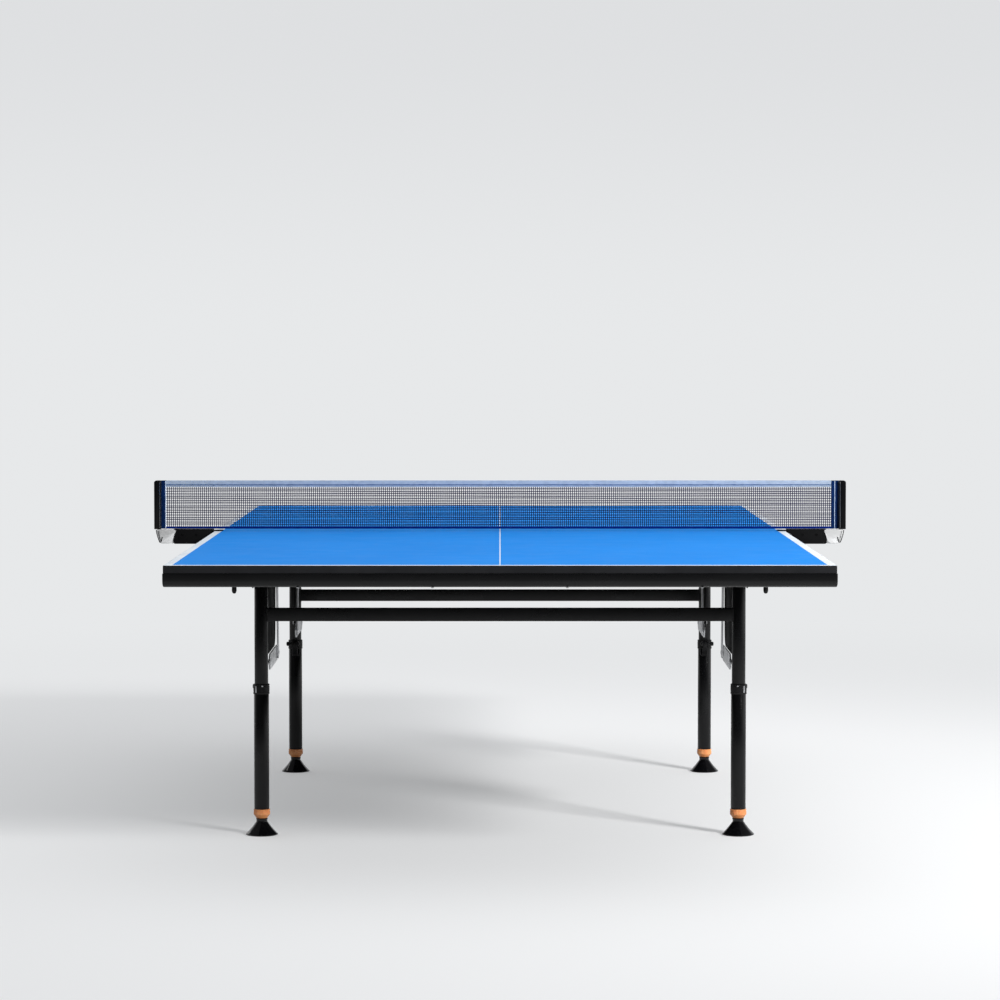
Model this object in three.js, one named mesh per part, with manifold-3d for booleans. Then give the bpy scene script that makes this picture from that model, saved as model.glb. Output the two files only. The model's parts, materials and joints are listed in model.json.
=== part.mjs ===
// A ping pong table: two half boards on steel frames, H-shaped legs that fold outward under each half,
// telescoping feet with levelling rings, and a net clamped across the middle.
// Millimetres, +Z up, origin on the floor under the middle of the net, +Y along the table.
import * as THREE from "three";
import { mergeVertices } from "three/addons/utils/BufferGeometryUtils.js";
import Module from "manifold-3d";

const wasm = await Module();
wasm.setup();

// ---- Driving dimensions ----
const TABLE_LENGTH = 2740;
const TABLE_WIDTH = 1525;
const SURFACE_HEIGHT = 725;
const BOARD_THICKNESS = 18;
const APRON_HEIGHT = 32;
const APRON_RAIL_WIDTH = 22;
const APRON_STANDS_PROUD = 1.5;
const SEAM_GAP = 2;
const GAP = 0.3; // between pieces that touch

const NEAR_LEG_X = 595; // leg centre from the table's centre line
const FAR_LEG_X = 585.5;
const LEG_Y = 610; // leg hinge from the net
const HINGE_HEIGHT = 655;
const LEG_RADIUS = 17;
const SLEEVE_RADIUS = 18.75;
const CROSSBAR_HEIGHT = 33;
const CROSSBAR_DEPTH = 20;
const NEAR_CROSSBAR_MIDDLE = 551.5; // above the floor
const FAR_CROSSBAR_MIDDLE = 506;

const STAY_DROP = 225; // stay bar's pivots below the hinge
const STAY_OFFSET = 34; // and netward of the leg's axis
const STAY_SPAN = 245; // between the stay bar's two pivots
const STAY_BAR_HEIGHT = 40;

const NET_TOP = 860;
const NET_BOTTOM = 731;
const NET_HALF_LENGTH = 905.5;
const POST_WIDTH = 17.5;
const POST_BOTTOM = 730;
const ARM_BOTTOM = 691;

const ROUND = 16; // sides of a leg tube

// ---- Derived places ----
const BOARD_BOTTOM = SURFACE_HEIGHT - BOARD_THICKNESS;
const APRON_TOP = BOARD_BOTTOM - GAP;
const APRON_BOTTOM = BOARD_BOTTOM - APRON_HEIGHT;
const HALF_WIDTH = TABLE_WIDTH / 2;
const HALF_LENGTH = TABLE_LENGTH / 2;
const legX = (end) => (end < 0 ? NEAR_LEG_X : FAR_LEG_X);
const APRON_HALF_WIDTH = HALF_WIDTH + APRON_STANDS_PROUD;

// ---- Materials ----
const finish = (color, roughness, metalness) =>
  new THREE.MeshStandardMaterial({ color, roughness, metalness });
const BLUE_TOP = finish(0x2f86dd, 0.4, 0);
const BLACK_PAINT = finish(0x161719, 0.4, 0.3);
const BLACK_PLASTIC = finish(0x101112, 0.35, 0);
const ZINC = finish(0x9a9b9e, 0.35, 0.9);
const CHROME = finish(0xd9dadc, 0.12, 1);
const ORANGE_PLASTIC = finish(0xd8703c, 0.4, 0);
const NET_MESH = finish(0x1c2a4c, 0.8, 0);

// ---- Solids ----
function solid(geometry) {
  const bare = geometry.index ? geometry.toNonIndexed() : geometry.clone();
  bare.deleteAttribute("normal");
  bare.deleteAttribute("uv");
  const merged = mergeVertices(bare, 1e-4);
  return new wasm.Manifold(
    new wasm.Mesh({
      numProp: 3,
      vertProperties: merged.attributes.position.array,
      triVerts: new Uint32Array(merged.index.array),
    }),
  );
}

function geometryOf(body) {
  const mesh = body.getMesh();
  const points = new Float32Array(mesh.numVert * 3);
  for (let i = 0; i < mesh.numVert; i++) {
    const start = i * mesh.numProp;
    points.set(mesh.vertProperties.subarray(start, start + 3), i * 3);
  }
  return new THREE.BufferGeometry()
    .setAttribute("position", new THREE.BufferAttribute(points, 3))
    .setIndex(new THREE.BufferAttribute(mesh.triVerts, 1));
}

const join = (...bodies) => bodies.reduce((a, b) => a.add(b));
const cut = (body, ...tools) => tools.reduce((a, b) => a.subtract(b), body);

function block([x0, x1], [y0, y1], [z0, z1]) {
  const box = new THREE.BoxGeometry(x1 - x0, y1 - y0, z1 - z0);
  return solid(box.translate((x0 + x1) / 2, (y0 + y1) / 2, (z0 + z1) / 2));
}

// A round bar along X, Y or Z, from a to b on that axis, centred on the other two coordinates.
function rod(axis, radius, [a, b], [u, v] = [0, 0], sides = 12) {
  const bar = new THREE.CylinderGeometry(radius, radius, b - a, sides);
  if (axis === "x") bar.rotateZ(-Math.PI / 2).translate((a + b) / 2, u, v);
  if (axis === "y") bar.translate(u, (a + b) / 2, v);
  if (axis === "z") bar.rotateX(Math.PI / 2).translate(u, v, (a + b) / 2);
  return solid(bar);
}

// An outline in the Y-Z plane, given thickness along X.
function plate(shape, [x0, x1], segments = 5) {
  const sheet = new THREE.ExtrudeGeometry(shape, {
    depth: x1 - x0,
    bevelEnabled: false,
    curveSegments: segments,
  });
  const toYZ = new THREE.Matrix4().makeBasis(
    new THREE.Vector3(0, 1, 0),
    new THREE.Vector3(0, 0, 1),
    new THREE.Vector3(1, 0, 0),
  );
  return solid(sheet.applyMatrix4(toYZ).translate(x0, 0, 0));
}

// A body of revolution about Z from [radius, height] pairs that start and end on the axis.
function turned(profile, sides = 20) {
  const outline = profile.map(([r, z]) => new THREE.Vector2(r, z));
  return solid(new THREE.LatheGeometry(outline, sides).rotateX(Math.PI / 2));
}

// A flat link with round ends between two points of the Y-Z plane, with holes at chosen centres.
function link([ya, za], [yb, zb], halfWidth, thickness, holes) {
  const angle = Math.atan2(zb - za, yb - ya);
  const quarter = Math.PI / 2;
  const outline = new THREE.Shape();
  outline.absarc(ya, za, halfWidth, angle + quarter, angle + 3 * quarter, false);
  outline.absarc(yb, zb, halfWidth, angle - quarter, angle + quarter, false);
  outline.closePath();
  const bar = plate(outline, thickness);
  return cut(bar, ...holes.map(([y, z, r]) => rod("x", r, [-60, 60], [y, z])));
}

const roundedRectangle = (x0, x1, y0, y1, r) => {
  const s = new THREE.Shape();
  s.absarc(x1 - r, y0 + r, r, -Math.PI / 2, 0, false);
  s.absarc(x1 - r, y1 - r, r, 0, Math.PI / 2, false);
  s.absarc(x0 + r, y1 - r, r, Math.PI / 2, Math.PI, false);
  s.absarc(x0 + r, y0 + r, r, Math.PI, 1.5 * Math.PI, false);
  s.closePath();
  return s;
};

// A horizontal slab whose upper and lower edges are rounded by a bevel.
function slab(shape, z0, z1, bevel, segments) {
  const body = new THREE.ExtrudeGeometry(shape, {
    depth: z1 - z0 - 2 * bevel,
    bevelThickness: bevel,
    bevelSize: bevel,
    bevelOffset: -bevel,
    bevelSegments: segments,
    curveSegments: 2,
  });
  return solid(body.translate(0, 0, z0 + bevel));
}

// ---- Half board and its steel frame; end is -1 for the near half and +1 for the far half ----
const APRON_WALL = 2;
const APRON_BEVEL = 1.2;
const TUBE_WALL = 2; // of the rails and crossbars
const between = (a, b) => [Math.min(a, b), Math.max(a, b)];

function board(end) {
  const [y0, y1] = between((end * SEAM_GAP) / 2, end * HALF_LENGTH);
  const outline = roundedRectangle(-HALF_WIDTH, HALF_WIDTH, y0, y1, 4);
  return slab(outline, BOARD_BOTTOM, SURFACE_HEIGHT, 1.5, 1);
}

function apron(end) {
  const [y0, y1] = between(
    (end * SEAM_GAP) / 2,
    end * (HALF_LENGTH + APRON_STANDS_PROUD),
  );
  const w = APRON_RAIL_WIDTH;
  const x = APRON_HALF_WIDTH;
  const t = APRON_WALL;
  const ring = roundedRectangle(-x, x, y0, y1, 5);
  ring.holes.push(roundedRectangle(w - x, x - w, y0 + w, y1 - w, 3));
  const channel = block([t - x, x - t], [y0 + t, y1 - t], [APRON_BOTTOM + t, APRON_TOP - t]);
  return cut(slab(ring, APRON_BOTTOM, APRON_TOP, APRON_BEVEL, 1), channel);
}

// A square-cornered tube along X, open at both ends.
function boxTube([x0, x1], [y0, y1], [z0, z1]) {
  const t = TUBE_WALL;
  const inside = block([x0 - 1, x1 + 1], [y0 + t, y1 - t], [z0 + t, z1 - t]);
  return cut(block([x0, x1], [y0, y1], [z0, z1]), inside);
}

const UNDER_RAIL_HEIGHT = 20;
const UNDER_RAIL_WIDTH = 40;
function underRail(end) {
  const x = APRON_HALF_WIDTH - APRON_RAIL_WIDTH - GAP;
  const half = UNDER_RAIL_WIDTH / 2;
  const y = [end * LEG_Y - half, end * LEG_Y + half];
  return boxTube([-x, x], y, [APRON_TOP - UNDER_RAIL_HEIGHT, APRON_TOP]);
}

function crossbar(end) {
  const middle = end < 0 ? NEAR_CROSSBAR_MIDDLE : FAR_CROSSBAR_MIDDLE;
  const z = [middle - CROSSBAR_HEIGHT / 2, middle + CROSSBAR_HEIGHT / 2];
  const y = [end * LEG_Y - CROSSBAR_DEPTH / 2, end * LEG_Y + CROSSBAR_DEPTH / 2];
  const x = legX(end);
  const bar = boxTube([-x, x], y, z);
  const around = LEG_RADIUS + GAP;
  return cut(
    bar,
    ...[-1, 1].map((side) =>
      join(
        rod("z", around, [z[0] - 1, z[1] + 1], [side * x, end * LEG_Y], ROUND),
        block(between(side * x, side * (x + 1)), [y[0] - 1, y[1] + 1], z),
      ),
    ),
  );
}

// ---- One corner's leg, in its own frame: origin on the hinge axis, +X outward, +Y towards the net ----
const FLOOR = -HINGE_HEIGHT;
const RAIL_UNDERSIDE = APRON_TOP - UNDER_RAIL_HEIGHT - HINGE_HEIGHT;

const HINGE_PIN_RADIUS = 5;
const CHEEK_OFFSET = 19; // from the leg's axis to a cheek's inner face
const PLATE = 3; // thickness of the bracket's steel
const CHEEK_HALF_WIDTH = 22;
const OUTER_CHEEK_BOTTOM = -38;
const INNER_CHEEK_BOTTOM = -12;
const FLANGE_TOP = RAIL_UNDERSIDE - GAP;
const FLANGE = [-45, 290]; // along the table
const LINK_PIVOT = [STAY_SPAN, 0]; // the stay link's fixed pivot
const LEG_PIVOT = [STAY_OFFSET, -STAY_DROP]; // the stay bar's pivot on the leg
const FREE_PIVOT = [STAY_OFFSET + STAY_SPAN, -STAY_DROP]; // where the bar meets the link
const STAY_PIN_RADIUS = 4;
const STAY_BORE_RADIUS = 4.4;
const WEB = [-16.5, -13.5];
const WEB_START = 24;
const WEB_BOTTOM = STAY_BAR_HEIGHT / 2 - STAY_DROP;
const WEB_SHORT_EDGE = -60; // lower end of the web's edge nearest the net
const STAY_BAR = [-20.5, -17.3];
const STAY_LINK = [-24.8, -21.2];
const LOCK_HEIGHT = -25;
const LOCK_ROD_RADIUS = 4;
const BARREL_RADIUS = 8;
const BARREL = [21, 46];

// The black panel beside the leg, cut away on a curve towards the net.
function webOutline() {
  const corner = 12;
  const curve = 40;
  const curveStart = 240;
  const outline = new THREE.Shape();
  outline.moveTo(WEB_START, FLANGE_TOP);
  outline.lineTo(WEB_START, WEB_BOTTOM + corner);
  outline.absarc(WEB_START + corner, WEB_BOTTOM + corner, corner, Math.PI, 1.5 * Math.PI, false);
  outline.absarc(curveStart, WEB_BOTTOM + curve, curve, -Math.PI / 2, 0, false);
  outline.lineTo(FLANGE[1], WEB_SHORT_EDGE);
  outline.lineTo(FLANGE[1], FLANGE_TOP);
  return outline;
}

function hingeBracket() {
  const outerFace = CHEEK_OFFSET + PLATE;
  const acrossCheek = [-CHEEK_HALF_WIDTH, CHEEK_HALF_WIDTH];
  const pinOverhang = 4;
  const flange = block([-outerFace, outerFace], FLANGE, [FLANGE_TOP - PLATE, FLANGE_TOP]);
  const outerCheek = block([CHEEK_OFFSET, outerFace], acrossCheek, [OUTER_CHEEK_BOTTOM, FLANGE_TOP]);
  const innerCheek = block([-outerFace, -CHEEK_OFFSET], acrossCheek, [INNER_CHEEK_BOTTOM, FLANGE_TOP]);
  const hingePin = rod("x", HINGE_PIN_RADIUS, [-outerFace - pinOverhang, outerFace + pinOverhang]);
  const web = plate(webOutline(), WEB);
  const linkPin = rod("x", STAY_PIN_RADIUS, [STAY_LINK[0] - 2.2, WEB[1]], LINK_PIVOT);
  const barrel = rod("x", BARREL_RADIUS, BARREL, [0, LOCK_HEIGHT]);
  const bore = rod("x", LOCK_ROD_RADIUS + GAP, [BARREL[0] - 3, BARREL[1] + 1], [0, LOCK_HEIGHT]);
  return cut(join(flange, outerCheek, innerCheek, hingePin, web, linkPin, barrel), bore);
}

const TUBE_TOP = 16;
const TUBE_BOTTOM = FLOOR + 250;
const TUBE_BORE_RADIUS = 15;
const LUG_HALF_THICKNESS = 3;
const LUG_RADIUS = 12;
function legTube() {
  const tube = rod("z", LEG_RADIUS, [TUBE_BOTTOM, TUBE_TOP], [0, 0], ROUND);
  const bore = rod("z", TUBE_BORE_RADIUS, [TUBE_BOTTOM - 1, TUBE_TOP + 1], [0, 0], ROUND);
  const hingeHole = rod("x", HINGE_PIN_RADIUS + GAP, [-LEG_RADIUS - 3, LEG_RADIUS + 3]);
  const lockHole = rod("x", LOCK_ROD_RADIUS + 0.5, [0, LEG_RADIUS + 3], [0, LOCK_HEIGHT]);
  const lugSides = [-LUG_HALF_THICKNESS, LUG_HALF_THICKNESS];
  const lug = link([TUBE_BORE_RADIUS - 3, -STAY_DROP], LEG_PIVOT, LUG_RADIUS, lugSides, []);
  const pin = rod("x", STAY_PIN_RADIUS, [STAY_BAR[0] - 2, LUG_HALF_THICKNESS], LEG_PIVOT);
  return cut(join(tube, lug, pin), bore, hingeHole, lockHole);
}

const stayBar = () =>
  link(LEG_PIVOT, FREE_PIVOT, STAY_BAR_HEIGHT / 2, STAY_BAR, [
    [...LEG_PIVOT, STAY_BORE_RADIUS],
    [...FREE_PIVOT, STAY_BORE_RADIUS],
  ]);

// Its pin goes through the stay bar and ends clear of the web that it passes as the leg folds.
const STAY_LINK_HALF_WIDTH = 15;
function stayLink() {
  const bar = link(LINK_PIVOT, FREE_PIVOT, STAY_LINK_HALF_WIDTH, STAY_LINK, [
    [...LINK_PIVOT, STAY_BORE_RADIUS],
  ]);
  return join(bar, rod("x", STAY_PIN_RADIUS, [STAY_LINK[0], WEB[0] - 2 * GAP], FREE_PIVOT));
}

const SLEEVE_BOTTOM = FLOOR + 64.7;
const SLEEVE_TOP = FLOOR + 364;
const SLEEVE_BORE_RADIUS = LEG_RADIUS + GAP;
const SLEEVE_PLUG = 14; // solid lower end that holds the foot's stem
const STEM_RADIUS = 6;
const STEM_BORE_RADIUS = STEM_RADIUS + GAP;
const STEM_TOP = FLOOR + 118;
function footSleeve() {
  const plugTop = SLEEVE_BOTTOM + SLEEVE_PLUG;
  const sleeve = rod("z", SLEEVE_RADIUS, [SLEEVE_BOTTOM, SLEEVE_TOP], [0, 0], ROUND);
  const bore = rod("z", SLEEVE_BORE_RADIUS, [plugTop, SLEEVE_TOP + 1], [0, 0], ROUND);
  return cut(sleeve, bore, rod("z", STEM_BORE_RADIUS, [SLEEVE_BOTTOM - 1, plugTop + 1]));
}

const COLLAR_RADIUS = 20.2;
const COLLAR = [FLOOR + 353, FLOOR + 378];
const LEVER_PIVOT = [29, FLOOR + 369];
const LEVER_PIN_RADIUS = 2.5;
const EAR = [6, 10];
const EAR_RADIUS = 7;
const SLIT = 2;
function clampCollar() {
  const beyond = [COLLAR[0] - 1, COLLAR[1] + 1];
  const ring = rod("z", COLLAR_RADIUS, COLLAR, [0, 0], ROUND);
  const lowerBore = rod("z", SLEEVE_RADIUS + GAP, [beyond[0], SLEEVE_TOP + GAP], [0, 0], ROUND);
  const upperBore = rod("z", SLEEVE_BORE_RADIUS, [COLLAR[0], beyond[1]], [0, 0], ROUND);
  const earRoot = [LEG_RADIUS - 1, LEVER_PIVOT[1]];
  const ears = [1, -1].map((side) =>
    link(earRoot, LEVER_PIVOT, EAR_RADIUS, between(side * EAR[0], side * EAR[1]), []),
  );
  const pin = rod("x", LEVER_PIN_RADIUS, [-EAR[1] - 2, EAR[1] + 10], LEVER_PIVOT);
  const pinHead = rod("x", 6, [EAR[1] + 5, EAR[1] + 14], LEVER_PIVOT);
  const slit = block([-SLIT / 2, SLIT / 2], [SLEEVE_BORE_RADIUS - 2, COLLAR_RADIUS + 2], beyond);
  return join(cut(join(ring, ...ears), lowerBore, upperBore, slit), pin, pinHead);
}

// The lever hangs from its cam, with a wider grip below the ears.
const LEVER_LENGTH = 33;
const LEVER_TIP_RADIUS = 3;
const CAM_RADIUS = 5.5;
function leverOutline(top, startsAtCam) {
  const [y, z] = LEVER_PIVOT;
  const tipY = y - CAM_RADIUS + 2;
  const tipZ = z - LEVER_LENGTH;
  const outline = new THREE.Shape();
  if (startsAtCam) outline.absarc(y, z, CAM_RADIUS, 0, 0.75 * Math.PI, false);
  outline[startsAtCam ? "lineTo" : "moveTo"](y - CAM_RADIUS, top);
  outline.lineTo(tipY - LEVER_TIP_RADIUS, tipZ);
  outline.absarc(tipY, tipZ, LEVER_TIP_RADIUS, Math.PI, 2 * Math.PI, false);
  outline.lineTo(y + CAM_RADIUS - 1, top);
  outline.closePath();
  return outline;
}

function clampLever() {
  const neck = plate(leverOutline(LEVER_PIVOT[1] - 9, true), [2 * GAP - EAR[0], EAR[0] - 2 * GAP]);
  const grip = plate(leverOutline(LEVER_PIVOT[1] - EAR_RADIUS - 3, false), [-8, 8]);
  const bore = rod("x", LEVER_PIN_RADIUS + GAP, [-20, 20], LEVER_PIVOT);
  return cut(join(neck, grip), bore);
}

// A bowl-shaped nut, widest over its upper two thirds.
const RING_RADIUS = 20;
const RING_BOTTOM = FLOOR + 42.4;
const RING_BOTTOM_RADIUS = 14.5;
function levellingRing() {
  const top = SLEEVE_BOTTOM - GAP;
  const body = turned([
    [0, RING_BOTTOM],
    [RING_BOTTOM_RADIUS, RING_BOTTOM],
    [RING_RADIUS - 1.5, RING_BOTTOM + 7],
    [RING_RADIUS, RING_BOTTOM + 9],
    [RING_RADIUS, top - 1.5],
    [RING_RADIUS - 1.5, top],
    [0, top],
  ], 16);
  return cut(body, rod("z", STEM_BORE_RADIUS, [RING_BOTTOM - 1, top + 1]));
}

// A hollow-sided cone on a thin round lip, with a straight neck under the ring.
const FOOT_RADIUS = 40;
const FOOT_LIP = 4;
const FOOT_NECK_RADIUS = 15.5;
const FOOT_NECK_BOTTOM = 31;
const FOOT_HOLLOW = 1.2; // how far the cone's side curves in
function levellingFoot() {
  const neckTop = RING_BOTTOM - 2 * GAP;
  const steps = 4;
  const cone = Array.from({ length: steps + 1 }, (_, i) => {
    const t = i / steps;
    const radius = FOOT_RADIUS - 1.5 + (FOOT_NECK_RADIUS - FOOT_RADIUS + 1.5) * t;
    const height = FOOT_LIP + (FOOT_NECK_BOTTOM - FOOT_LIP) * t;
    return [radius - FOOT_HOLLOW * Math.sin(Math.PI * t), FLOOR + height];
  });
  return turned([
    [0, FLOOR],
    [FOOT_RADIUS - 1.5, FLOOR],
    [FOOT_RADIUS, FLOOR + 1.5],
    [FOOT_RADIUS, FLOOR + 2.8],
    ...cone,
    [FOOT_NECK_RADIUS - 1, neckTop],
    [STEM_RADIUS, neckTop],
    [STEM_RADIUS, STEM_TOP],
    [0, STEM_TOP],
  ]);
}

// A spring pull pin: a straight nose and a hanging handle, swollen in the middle.
const LOCK_HANDLE_X = 67;
function lockPin() {
  const nose = rod("x", LOCK_ROD_RADIUS, [LEG_RADIUS + 2 * GAP, LOCK_HANDLE_X], [0, LOCK_HEIGHT]);
  const handle = turned([
    [0, -51.5],
    [3.2, -50.5],
    [5.4, -47],
    [6.2, -42],
    [6.2, -22],
    [4.5, -18.5],
    [0, -17.5],
  ], 10);
  return join(nose, handle.translate([LOCK_HANDLE_X, 0, 0]));
}

// ---- One end of the net, in the table's frame for the right side; side is -1 or +1 ----
const ARM_HALF_DEPTH = 15; // half the arm's size along the table
const ARM_INNER = APRON_HALF_WIDTH + 1;
const ARM_OUTER = 872;
const ARM_SLANT = [30, 26]; // the inner lower corner's cut, across and up
const SPINE = 4;
const JAW_INNER = 740;
const JAW = 5;
const JAW_TOP = 652; // top of the lower jaw
const TOP_JAW = 2.5; // thickness of the plate on the playing surface
const CLAMP_X = 752;
const SPINDLE_RADIUS = 4;
const PAD_TOP = APRON_BOTTOM - GAP;
const PAD_HEIGHT = 9;
const KNOB = [608, 624];

// An outline in the X-Z plane, given thickness along Y and centred on the net's plane.
function crossPlate(shape, depth, segments = 5) {
  const sheet = new THREE.ExtrudeGeometry(shape, {
    depth,
    bevelEnabled: false,
    curveSegments: segments,
  });
  return solid(sheet.rotateX(Math.PI / 2).translate(0, depth / 2, 0));
}

function netArm() {
  const depth = [-ARM_HALF_DEPTH, ARM_HALF_DEPTH];
  const cornerCut = 3;
  const outline = new THREE.Shape();
  outline.moveTo(ARM_INNER, POST_BOTTOM);
  outline.lineTo(ARM_INNER, ARM_BOTTOM + ARM_SLANT[1]);
  outline.lineTo(ARM_INNER + ARM_SLANT[0], ARM_BOTTOM);
  outline.lineTo(ARM_OUTER - cornerCut, ARM_BOTTOM);
  outline.lineTo(ARM_OUTER, ARM_BOTTOM + cornerCut);
  outline.lineTo(ARM_OUTER, POST_BOTTOM);
  outline.closePath();
  const beam = crossPlate(outline, 2 * ARM_HALF_DEPTH);
  const onSurface = SURFACE_HEIGHT + GAP;
  const topJaw = block([JAW_INNER, ARM_INNER + 1], depth, [onSurface, onSurface + TOP_JAW]);
  const spine = block([ARM_INNER, ARM_INNER + SPINE], depth, [JAW_TOP - JAW, POST_BOTTOM]);
  const lowerJaw = block([JAW_INNER, ARM_INNER + 1], depth, [JAW_TOP - JAW, JAW_TOP]);
  const boss = rod("z", 10, [JAW_TOP - JAW - 9, JAW_TOP - 1], [CLAMP_X, 0]);
  const thread = rod("z", SPINDLE_RADIUS + GAP, [JAW_TOP - 20, JAW_TOP + 5], [CLAMP_X, 0]);
  return cut(join(beam, topJaw, spine, lowerJaw, boss), thread);
}

const clampPad = () =>
  turned([
    [0, PAD_TOP - PAD_HEIGHT],
    [6, PAD_TOP - PAD_HEIGHT],
    [10, PAD_TOP - 4],
    [10, PAD_TOP],
    [0, PAD_TOP],
  ], 12).translate([CLAMP_X, 0, 0]);

function clampKnob() {
  const lobeCount = 5;
  const lobeCircle = 11;
  const spindle = rod("z", SPINDLE_RADIUS, [KNOB[0] + 4, PAD_TOP - PAD_HEIGHT - GAP], [CLAMP_X, 0]);
  const hub = rod("z", lobeCircle, [KNOB[0], KNOB[1] + 4], [CLAMP_X, 0]);
  const lobes = Array.from({ length: lobeCount }, (_, i) => {
    const angle = (i / lobeCount) * 2 * Math.PI;
    const centre = [CLAMP_X + lobeCircle * Math.cos(angle), lobeCircle * Math.sin(angle)];
    return rod("z", 6, KNOB, centre, 8);
  });
  return join(spindle, hub, ...lobes);
}

// A chrome clip under the post: wide at the post, narrower where it grips the arm.
const CLIP_OUTER = 916;
const CLIP_DEPTH = 22;
function postClip() {
  const inner = ARM_OUTER + GAP;
  const top = POST_BOTTOM - GAP;
  const bottom = ARM_BOTTOM + 1;
  const corner = 6;
  const cornerX = CLIP_OUTER - 14;
  const outline = new THREE.Shape();
  outline.moveTo(inner, top);
  outline.lineTo(inner, bottom);
  outline.lineTo(cornerX, bottom);
  outline.absarc(cornerX, bottom + corner, corner, -Math.PI / 2, 0, false);
  outline.lineTo(CLIP_OUTER, top - 10);
  outline.lineTo(CLIP_OUTER, top);
  outline.closePath();
  return crossPlate(outline, CLIP_DEPTH, 4);
}

const POST_INNER = NET_HALF_LENGTH + GAP;
const POST_DEPTH = 24;
function netPost() {
  const outer = POST_INNER + POST_WIDTH;
  const corner = 5;
  const outline = new THREE.Shape();
  outline.moveTo(POST_INNER, POST_BOTTOM);
  outline.lineTo(outer, POST_BOTTOM);
  outline.absarc(outer - corner, NET_TOP - corner, corner, 0, Math.PI / 2, false);
  outline.lineTo(POST_INNER, NET_TOP);
  outline.closePath();
  return crossPlate(outline, POST_DEPTH, 6);
}

const NET_THICKNESS = 4;
const netPanel = () =>
  block(
    [-NET_HALF_LENGTH, NET_HALF_LENGTH],
    [-NET_THICKNESS / 2, NET_THICKNESS / 2],
    [NET_BOTTOM, NET_TOP],
  );

// A flat steel strip under the seam, screwed to both halves.
const JOINING_BAR = { halfLength: 700, halfWidth: 30, thickness: 3 };
function joiningBar() {
  const { halfLength, halfWidth, thickness } = JOINING_BAR;
  const top = APRON_BOTTOM - GAP;
  return block([-halfLength, halfLength], [-halfWidth, halfWidth], [top - thickness, top]);
}

// ---- The assembly ----
const table = new THREE.Group();

function place(group, name, body, material) {
  const mesh = new THREE.Mesh(geometryOf(body), material);
  mesh.name = name;
  group.add(mesh);
}

const ENDS = { near: -1, far: 1 };
const SIDES = { left: -1, right: 1 };

for (const [endName, end] of Object.entries(ENDS)) {
  place(table, `${endName}_board`, board(end), BLUE_TOP);
  place(table, `${endName}_apron`, apron(end), BLACK_PAINT);
  place(table, `${endName}_under_rail`, underRail(end), BLACK_PAINT);
  place(table, `${endName}_crossbar`, crossbar(end), BLACK_PAINT);
  for (const [sideName, side] of Object.entries(SIDES)) {
    const corner = new THREE.Group();
    corner.position.set(side * legX(end), end * LEG_Y, HINGE_HEIGHT);
    corner.scale.set(side, -end, 1);
    table.add(corner);
    const piece = (name, body, material) =>
      place(corner, `${endName}_${sideName}_${name}`, body, material);
    piece("hinge_bracket", hingeBracket(), BLACK_PAINT);
    piece("leg_tube", legTube(), BLACK_PAINT);
    piece("stay_bar", stayBar(), ZINC);
    piece("stay_link", stayLink(), ZINC);
    piece("foot_sleeve", footSleeve(), BLACK_PAINT);
    piece("clamp_collar", clampCollar(), BLACK_PLASTIC);
    piece("clamp_lever", clampLever(), BLACK_PLASTIC);
    piece("levelling_ring", levellingRing(), ORANGE_PLASTIC);
    piece("levelling_foot", levellingFoot(), BLACK_PLASTIC);
    piece("lock_pin", lockPin(), BLACK_PLASTIC);
  }
}

for (const [sideName, side] of Object.entries(SIDES)) {
  const netEnd = new THREE.Group();
  netEnd.scale.set(side, 1, 1);
  table.add(netEnd);
  const piece = (name, body, material) => place(netEnd, `${sideName}_${name}`, body, material);
  piece("net_arm", netArm(), BLACK_PAINT);
  piece("net_clamp_pad", clampPad(), BLACK_PLASTIC);
  piece("net_clamp_knob", clampKnob(), BLACK_PLASTIC);
  piece("net_post_clip", postClip(), CHROME);
  piece("net_post", netPost(), BLACK_PLASTIC);
}
place(table, "net", netPanel(), NET_MESH);
place(table, "joining_bar", joiningBar(), BLACK_PAINT);

export default table;
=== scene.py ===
"""A ping pong table in fine detail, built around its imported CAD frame. Its shapes are made in millimetres
and put into the frame's metres, +Z up, with the net across y = 0."""
import json
import math

import bmesh
import bpy
import numpy as np
from mathutils import Matrix, Vector


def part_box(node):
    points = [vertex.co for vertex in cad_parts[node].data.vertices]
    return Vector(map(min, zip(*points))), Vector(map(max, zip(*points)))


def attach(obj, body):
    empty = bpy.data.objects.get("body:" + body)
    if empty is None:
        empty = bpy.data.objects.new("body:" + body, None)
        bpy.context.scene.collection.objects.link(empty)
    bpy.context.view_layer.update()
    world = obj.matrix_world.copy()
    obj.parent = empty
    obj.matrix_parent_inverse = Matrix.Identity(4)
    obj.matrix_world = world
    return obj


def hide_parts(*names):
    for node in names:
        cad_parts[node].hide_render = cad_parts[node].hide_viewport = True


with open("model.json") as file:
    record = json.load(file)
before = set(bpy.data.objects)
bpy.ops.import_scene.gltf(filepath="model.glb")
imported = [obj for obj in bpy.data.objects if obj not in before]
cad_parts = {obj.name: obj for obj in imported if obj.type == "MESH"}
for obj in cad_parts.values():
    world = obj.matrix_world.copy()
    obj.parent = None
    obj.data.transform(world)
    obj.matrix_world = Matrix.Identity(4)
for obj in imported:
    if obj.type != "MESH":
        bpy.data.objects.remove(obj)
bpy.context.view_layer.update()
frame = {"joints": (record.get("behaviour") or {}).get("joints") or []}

# ---- The studio: radiances, and places in metres ----
BACKDROP = (0.80, 0.812, 0.822)  # behind the table at the horizon; the far floor fades into it
BACKDROP_ABOVE = (0.735, 0.745, 0.758)  # behind the table, higher up
DARK_SIDE = (0.22, 0.223, 0.228)  # what lights the table from the camera's side
BRIGHT_SIDE = (1.0, 1.01, 1.02)  # what lights it, and shows in gloss, from the far side
DARK_MIRRORED = (0.055, 0.056, 0.058)  # what gloss shows of the camera's side
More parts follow.
